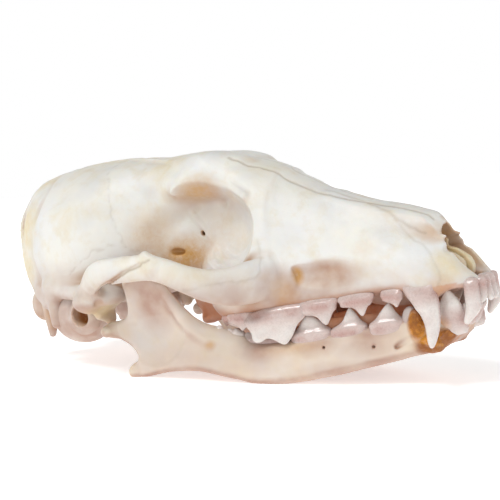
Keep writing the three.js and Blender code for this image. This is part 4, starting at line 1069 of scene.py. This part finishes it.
def bone_paint(name, cool, warm, recess_shade):
    """Bone between a cool and a warm tone, with painted shade in its recesses, and with stains and painted
    shade where the masks say.
    """
    paint = Paint(name)
    mottle = paint.noise(4.5, 5, 0.65)
    grain = paint.noise(1.6, 4, 0.7, 0.6)
    colour = paint.ramp(paint.noise(24, 4, 0.6), (0.36, cool), (0.64, warm))
    clouds = (  # source, where it starts and ends, most of the colour, colour
        (paint.noise(9, 4, 0.6, 0.4), 0.52, 0.72, 0.45, (0.73, 0.63, 0.42)),
        (paint.noise(13, 3, 0.5), 0.46, 0.7, 0.5, (0.66, 0.665, 0.68)),
        (mottle, 0.52, 0.76, 0.4, (0.7, 0.6, 0.43)),
        # the last cloud is painted shade: darker by how deep the point lies in a hollow
        (paint.mask("hollow"), 0.08, 0.6, 0.95, recess_shade),
    )
    for source, low, high, most, tone in clouds:
        colour = paint.tint(colour, tone, paint.between(source, low, high, 0, most))
    resin = paint.ramp(mottle, (0.36, (0.3, 0.085, 0.006)), (0.62, (0.62, 0.25, 0.01)))
    resin = paint.tint(resin, (0.17, 0.055, 0.012), paint.between(grain, 0.5, 0.72, 0, 0.7))
    # The crust is darker where the rose mask carries painted shade.
    resin = paint.tint(resin, (0.24, 0.07, 0.008), paint.between(paint.mask("rose_and_shade"), 0.25, 0.6, 0, 0.8))
    stains_and_shade = (  # mask, colour, what breaks it up, where that starts and ends, least of the colour
        # The rose and ochre masks are partly painted shade, and the tissue mask is brown painted shade.
        ("rose_and_shade", (0.46, 0.3, 0.235), paint.noise(7, 3, 0.5), 0.34, 0.62, 0.6),
        ("straw", (0.72, 0.58, 0.3), mottle, 0.35, 0.6, 0.5),
        ("ochre_and_shade", (0.58, 0.31, 0.08), grain, 0.3, 0.62, 0.6),
        ("inner_shade", (0.56, 0.23, 0.11), mottle, 0.3, 0.6, 0.7),
        ("amber", resin, grain, 0.25, 0.5, 0.7),
    )
    for mask, tone, source, low, high, least in stains_and_shade:
        amount = paint.times(paint.mask(mask), paint.between(source, low, high, least, 1))
        colour = paint.tint(colour, tone, amount)
    colour = paint.tint(colour, (0.3, 0.2, 0.11), paint.times(paint.mask("seam"), 0.5))
    fine = paint.noise(0.45, 2, 0.5)
    paint.feed(paint.shader, {
        "Base Color": colour,
        "Roughness": paint.between(grain, 0.3, 0.7, 0.38, 0.55),
        "Subsurface Weight": 0.12,
        "Subsurface Radius": (1.0, 0.55, 0.3),
        "Subsurface Scale": 0.0015,
        "Specular IOR Level": 0.45,
        "Normal": paint.relief([(mottle, 0.35, 0.35), (grain, 0.12, 0.4), (fine, 0.05, 0.35)]),
    })
    return paint.material


def enamel_paint():
    """Enamel that is pinker towards its neck, with painted shade in its hollows and brown painted shade on
    its inner faces, and stains where the masks say.
    """
    paint = Paint("enamel")
    patches = paint.noise(5, 3, 0.5)
    streaks = paint.noise(1.2, 4, 0.6, 1.5)
    colour = paint.ramp(patches, (0.35, (0.66, 0.58, 0.545)), (0.65, (0.76, 0.72, 0.68)))
    # Painted shade in the hollows.
    colour = paint.tint(colour, (0.42, 0.23, 0.2), paint.between(paint.mask("hollow"), 0.2, 0.8, 0, 0.8))
    neck = paint.between(paint.mask("height"), 0.05, 0.75, 0.9, 0)
    blush = paint.times(neck, paint.between(patches, 0.35, 0.6, 0.35, 1))
    colour = paint.tint(colour, (0.46, 0.27, 0.235), blush)
    amber = paint.times(paint.mask("amber"), paint.between(streaks, 0.2, 0.5, 0.5, 1))
    colour = paint.tint(colour, (0.62, 0.27, 0.03), amber)
    # Brown painted shade on the inner faces of the cheek teeth.
    colour = paint.tint(colour, (0.4, 0.15, 0.07), paint.times(paint.mask("inner_shade"), 0.9))
    paint.feed(paint.shader, {
        "Base Color": colour,
        "Roughness": paint.between(streaks, 0.3, 0.7, 0.2, 0.36),
        "Subsurface Weight": 0.15,
        "Subsurface Radius": (1.0, 0.6, 0.45),
        "Subsurface Scale": 0.0012,
        "Coat Weight": 0.3,
        "Normal": paint.relief([(patches, 0.15, 0.3), (streaks, 0.04, 0.3)]),
    })
    return paint.material


def table_paint():
    paint = Paint("table")
    colour = paint.ramp(paint.noise(60, 2, 0.5), (0.3, (0.9, 0.9, 0.9)), (0.7, (0.93, 0.93, 0.93)))
    glow = {"Emission Color": (1, 1, 1), "Emission Strength": 0.5}
    paint.feed(paint.shader, {"Base Color": colour, "Roughness": 0.9, **glow})
    return paint.material


# ---- where the stains and the painted shade are
# Each spot: centre, radius, amount
CRANIUM_STAINS_AND_SHADE = {
    "ochre_and_shade": [
        # Ochre: a yellow-brown stain, and painted shade under the brow and deep in and behind the eye
        # socket.
        ((60, 10.7, 18.5), (14, 8, 8), 0.95), ((68, 9.5, 20), (12, 6, 8), 0.35),
        ((71, 13.6, 36), (9, 7, 5), 0.75), ((74, 11, 24), (11, 7, 12), 0.25),
        ((53, 15, 24), (10, 8, 12), 0.5), ((3, 11, 9), (5, 5, 6), 0.3), ((97.8, 14.6, 9), (2, 3, 3.6), 1),
        ((94.6, 17.4, 5), (4.6, 5, 6), 0.4), ((84, 20, 6), (7, 6, 5), 0.3),
        ((106, 14.4, 8), (10, 4, 4.5), 0.22), ((131, 2, 13), (7, 7, 4.6), 0.7),
        ((133.5, 11, 1.5), (5, 4, 3.5), 0.6), ((117, 12, 13), (5, 3, 3), 0.2),
        ((12, 17, 8), (5, 5, 6), 0.35), ((31, 20, 9), (7, 7, 4), 0.35),
    ],
    "straw": [
        ((8, 20, 36), (9, 10, 12), 0.9), ((7, 17, 24), (6, 9, 10), 0.7), ((12, 10, 49), (8, 9, 6), 0.7),
        ((36, 0, 50), (18, 12, 8), 0.4), ((60, 10, 44), (10, 9, 7), 0.5), ((84, 8, 37), (10, 8, 7), 0.15),
        ((134, 0, 7), (10, 6, 7.5), 1.3), ((136, 9, 6), (7, 5, 5), 0.6), ((38, 23, 8), (8, 9, 7), 0.7),
    ],
    # Rose: mostly painted shade, in the hollow ahead of the canal, over the teeth, under the brow and the
    # arch, and underneath.
    "rose_and_shade": [
        ((106, 14, 8), (12, 4, 5), 0.85), ((100, 15, 3), (17, 6, 5), 0.5),
        ((72, 13, 34), (10, 7, 8), 0.5), ((92, 18, 6), (10, 7, 8), 0.95), ((84, 26, 9), (9, 7, 5), 0.3),
        ((22, 14, -1), (10, 8, 5), 0.5), ((116, 12, 2), (14, 4, 3), 0.3),
    ],
}
BULLA_STAINS_AND_SHADE = {
    "ochre_and_shade": [((29, 19.6, 6.8), (4.8, 6, 4.8), 1)],
    "amber": [((29, 19.4, 6.8), (4.1, 3, 4.1), 2.2)],
    # Rose: painted shade on the underside.
    "rose_and_shade": [((22, 15, 0), (12, 10, 7), 0.9)],
}
JAW_STAINS_AND_SHADE = {
    "ochre_and_shade": [
        ((71.6, 21.6, -5.6), (2.2, 3, 1.6), 0.6), ((92, 17, -9), (14, 4, 2.4), 0.3),
        ((137, 5, -11), (4, 5, 4), 0.35),
    ],
    "amber": [
        ((125.8, 9.4, -7.4), (3, 4, 5.4), 2), ((128.8, 9, -12.6), (5.4, 5, 4.2), 2),
        ((132, 8, -11.2), (3.6, 4.4, 3), 2),
    ],
    # Rose: a rose tone and painted shade, below the teeth, on the ramus under the arch and along the bottom
    # edge.
    "rose_and_shade": [
        ((86, 19, -8.5), (11, 5, 5), 0.9), ((101, 16, -8.5), (11, 5, 4.6), 0.9),
        ((115, 12.5, -7.6), (11, 5, 5), 0.9), ((136, 5, -10), (4, 5, 3), 0.6),
        ((56, 22, 10), (9, 6, 13), 1), ((62, 22, -9), (18, 6, 6), 0.25),
        ((104, 12, -16.5), (34, 8, 3.4), 0.6), ((112, 12, -10.5), (13, 6, 5), 0.6),
        ((82, 18, -11), (13, 6, 5), 0.35),
    ],
}
CANINE_STAIN = (130.5, 8, -8), (4.5, 4, 3)
LOW_SHADE_FROM, LOW_SHADE_FULL = 33, 18  # millimetres over the table, where painted rose shade on low bone starts, and where it is full
CROWN_HEIGHT = 5


def bone_masks(skin, stains_and_shade, low, under, inner_shade=0):
    """Where a bone is stained or has painted shade. The rose mask also gets painted shade near the table
    (low) and on faces that look down (under).
    """
    masks = {"seam": skin.seam, "hollow": skin.hollow, "inner_shade": inner_shade + np.zeros(len(skin.points))}
    for name in ("ochre_and_shade", "amber", "straw", "rose_and_shade"):
        values = np.zeros(len(skin.points))
        for centre, radius, amount in stains_and_shade.get(name, ()):
            values = np.maximum(values, amount * spot(skin.points, centre, radius))
        masks[name] = np.minimum(values, 1)
    height = placed(skin.points)[:, 2] * 1000
    # Painted shade: rose on bone near the table and on faces that look down.
    painted_shade = low * fade(height, LOW_SHADE_FROM, LOW_SHADE_FULL) + under * fade(skin.normals[:, 2], 0, -0.5)
    masks["rose_and_shade"] = np.clip(masks["rose_and_shade"] + painted_shade, 0, 1)
    return masks


def palate_inner_shade(skin):
    """Brown painted shade on the palate and in the passage behind it."""
    x, y, z = skin.points.T
    mouth = fade(z, 3.6, 1.6) * (skin.normals[:, 2] < -0.2) * (x > 66)
    throat = spot(skin.points, (66, 6, 5), (19, 11, 9)) * (np.abs(y) < 13)
    return np.maximum(0.5 * mouth, np.clip(1.5 * throat, 0, 0.85))


def jaw_inner_shade(skin):
    """Brown painted shade on the jaw's inner face, and on the inner ridge and the jaw's top between the
    premolars.
    """
    x, _, z = skin.points.T
    inner = np.clip(-1.5 * skin.normals[:, 1], 0, 1) * fade(x, 50, 59)
    ridge_shade = fade(z, -7, -5.8) * (x > 90) * (x < 122.5)
    return np.maximum(0.8 * inner, ridge_shade)


def teeth_masks(skin, neck, stain):
    """Height over the neck, a stain on the canine, and brown painted shade on the inner faces behind it."""
    inward = np.clip(-1.4 * np.sign(skin.points[:, 1]) * skin.normals[:, 1], 0, 1)
    return {
        "hollow": skin.hollow,
        "height": fade(np.abs(skin.points[:, 2] - neck), 0, CROWN_HEIGHT),
        "amber": stain * spot(skin.points, *CANINE_STAIN),
        "inner_shade": inward * (skin.points[:, 0] < 127),
    }


# ---- building it
def cranium_regions(skin):
    """Which quads of the cranium stand for each node."""
    x, y, z = skin.points[skin.quads].mean(1).T
    on_arch = (x > ARCH_BACK) & (x < ARCH_FRONT) & (np.abs(y) > ARCH_INNER)
    behind = x < FOREHEAD_BACK
    run, rise = np.subtract(SNOUT_SEAM_HIGH, SNOUT_SEAM_LOW)
    above = (z - SNOUT_SEAM_LOW[1]) * run > (x - SNOUT_SEAM_LOW[0]) * rise
    return {
        "braincase": behind & ~on_arch,
        "forehead": ~behind & above & ~on_arch,
        "snout": ~behind & ~above & ~on_arch,
        "zygomatic_arch_left": on_arch & (y > 0),
        "zygomatic_arch_right": on_arch & (y < 0),
    }


# The last colour of each is the painted shade in its recesses.
CRANIUM_PAINT = bone_paint("cranium_bone", (0.79, 0.79, 0.77), (0.81, 0.785, 0.7), (0.52, 0.34, 0.22))
JAW_PAINT = bone_paint("jaw_bone", (0.72, 0.63, 0.55), (0.74, 0.62, 0.49), (0.46, 0.28, 0.19))
ENAMEL_PAINT = enamel_paint()

cranium = Skin(cranium_form(), CRANIUM_BOX, CRANIUM_STEP, two_sided=True)
relieve(cranium, SUTURES, NOSE_LUMPS)
cranium_masks = bone_masks(cranium, CRANIUM_STAINS_AND_SHADE, low=0.75, under=0.3, inner_shade=palate_inner_shade(cranium))
for node, chosen in cranium_regions(cranium).items():
    piece(f"{node}_bone", cranium, chosen, cranium_masks, CRANIUM_PAINT, node)

bulla = Skin(bulla_form(), BULLA_BOX, BULLA_STEP)
relieve(bulla, {})
jaw = Skin(jaw_form(), JAW_BOX, JAW_STEP)
relieve(jaw, {}, [(centre, radius, CRUST_LUMP) for centre, radius, _ in JAW_STAINS_AND_SHADE["amber"]])
upper_teeth = teeth_skin(UPPER_CROWNS, UPPER_TEETH, UPPER_NECKS)
lower_teeth = teeth_skin(LOWER_CROWNS, LOWER_TEETH, LOWER_NECKS)
bulla_masks = bone_masks(bulla, BULLA_STAINS_AND_SHADE, low=0.8, under=0.5)
jaw_masks = bone_masks(jaw, JAW_STAINS_AND_SHADE, low=0.1, under=0.9, inner_shade=jaw_inner_shade(jaw))
upper_masks = teeth_masks(upper_teeth, UPPER_NECKS, stain=0)
lower_masks = teeth_masks(lower_teeth, LOWER_NECKS, stain=0.8)
PAIRS = (
    ("auditory_bulla_{}_bone", bulla, bulla_masks, CRANIUM_PAINT, "cranium_bone", "auditory_bulla_{}"),
    ("mandible_{}_bone", jaw, jaw_masks, JAW_PAINT, "jaw_bone", "mandible_{}"),
    ("upper_teeth_{}", upper_teeth, upper_masks, ENAMEL_PAINT, "enamel", "snout"),
    ("lower_teeth_{}", lower_teeth, lower_masks, ENAMEL_PAINT, "enamel", "mandible_{}"),
)
for side in ("left", "right"):
    for name, skin, masks, material, slot, node in PAIRS:
        this = skin if side == "left" else skin.mirrored()
        piece(name.format(side), this, slice(None), masks, material, node.format(side))


# ---- table, light and camera
def table(reach, sides):
    """A round floor that reaches far beyond the camera and the lights."""
    turns = [2 * math.pi * i / sides for i in range(sides)]
    rim = [(reach * math.cos(turn), reach * math.sin(turn), 0) for turn in turns]
    mesh = bpy.data.meshes.new("table")
    mesh.from_pydata(rim, [], [tuple(range(sides))])
    mesh.materials.append(table_paint())
    add_object("table", mesh)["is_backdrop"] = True


def lamp(name, kind, strength, turn):
    obj = add_object(name, bpy.data.lights.new(name, kind))
    obj.data.energy = strength
    obj.rotation_mode = "QUATERNION"
    obj.rotation_quaternion = turn
    return obj


def key_light(towards, spread, strength):
    """Even light from a wide lamp far away, spread over an angle in degrees."""
    key = lamp("key", "SUN", strength, Vector(towards).to_track_quat("Z", "Y"))
    key.data.angle = math.radians(spread)


def fill_light(at, size, watts, colour):
    """A square lamp that looks at the middle of the skull."""
    fill = lamp("fill", "AREA", watts, (Vector((0, 0, 0.03)) - Vector(at)).to_track_quat("-Z", "Y"))
    fill.location = at
    fill.data.size = size
    fill.data.color = colour


def studio_sky(horizon, zenith):
    """A white backdrop all round, and a dimmer ceiling."""
    world = bpy.data.worlds.new("studio")
    world.use_nodes = True
    tree = world.node_tree
    direction = tree.nodes.new("ShaderNodeTexCoord")
    split = tree.nodes.new("ShaderNodeSeparateXYZ")
    rise = tree.nodes.new("ShaderNodeMapRange")
    for socket, value in zip(("From Min", "From Max", "To Min", "To Max"), (0.3, 0.5, horizon, zenith)):
        rise.inputs[socket].default_value = value
    tree.links.new(direction.outputs["Generated"], split.inputs["Vector"])
    tree.links.new(split.outputs["Z"], rise.inputs["Value"])
    tree.links.new(rise.outputs["Result"], tree.nodes["Background"].inputs["Strength"])
    tree.nodes["Background"].inputs["Color"].default_value = (1, 1, 1, 1)
    bpy.context.scene.world = world


# The camera's place in the skull's frame, its turn, rise and roll, and its focal length
CAMERA_AT = (220.6, -226.7, 19.5)
CAMERA_TURN, CAMERA_RISE, CAMERA_ROLL = (math.radians(v) for v in (32.67, 0.45, -9.79))
FOCAL_PIXELS, FRAME_PIXELS = 952.0, 500.0
SENSOR = 36


def photo_camera():
    """The photo's camera. Its rise and roll are those of the skull's frame, whose tooth row is level."""
    flat = math.cos(CAMERA_RISE)
    back = Vector((math.sin(CAMERA_TURN) * flat, -math.cos(CAMERA_TURN) * flat, math.sin(CAMERA_RISE)))
    level = Vector((0, 0, 1)).cross(back).normalized()
    upright = back.cross(level)
    right = math.cos(CAMERA_ROLL) * level + math.sin(CAMERA_ROLL) * upright
    up = math.cos(CAMERA_ROLL) * upright - math.sin(CAMERA_ROLL) * level
    axes = turned(np.array([right, up, back]))
    lens = bpy.data.cameras.new("camera")
    lens.sensor_width = SENSOR
    lens.lens = SENSOR * FOCAL_PIXELS / FRAME_PIXELS
    lens.clip_start, lens.clip_end = 0.01, 10
    camera = add_object("camera", lens)
    place = Matrix.Translation(placed(np.array([CAMERA_AT]))[0])
    camera.matrix_world = place @ Matrix(axes.T.tolist()).to_4x4()
    bpy.context.scene.camera = camera


table(reach=3.0, sides=96)
key_light(towards=(-0.15, -0.5, 0.85), spread=20, strength=1.3)
fill_light(at=(0.9, -0.6, 0.3), size=0.7, watts=0.3, colour=(1, 0.94, 0.9))
studio_sky(horizon=1.0, zenith=0.35)
photo_camera()
bpy.context.scene.view_settings.view_transform = "Standard"

bpy.context.view_layer.update()
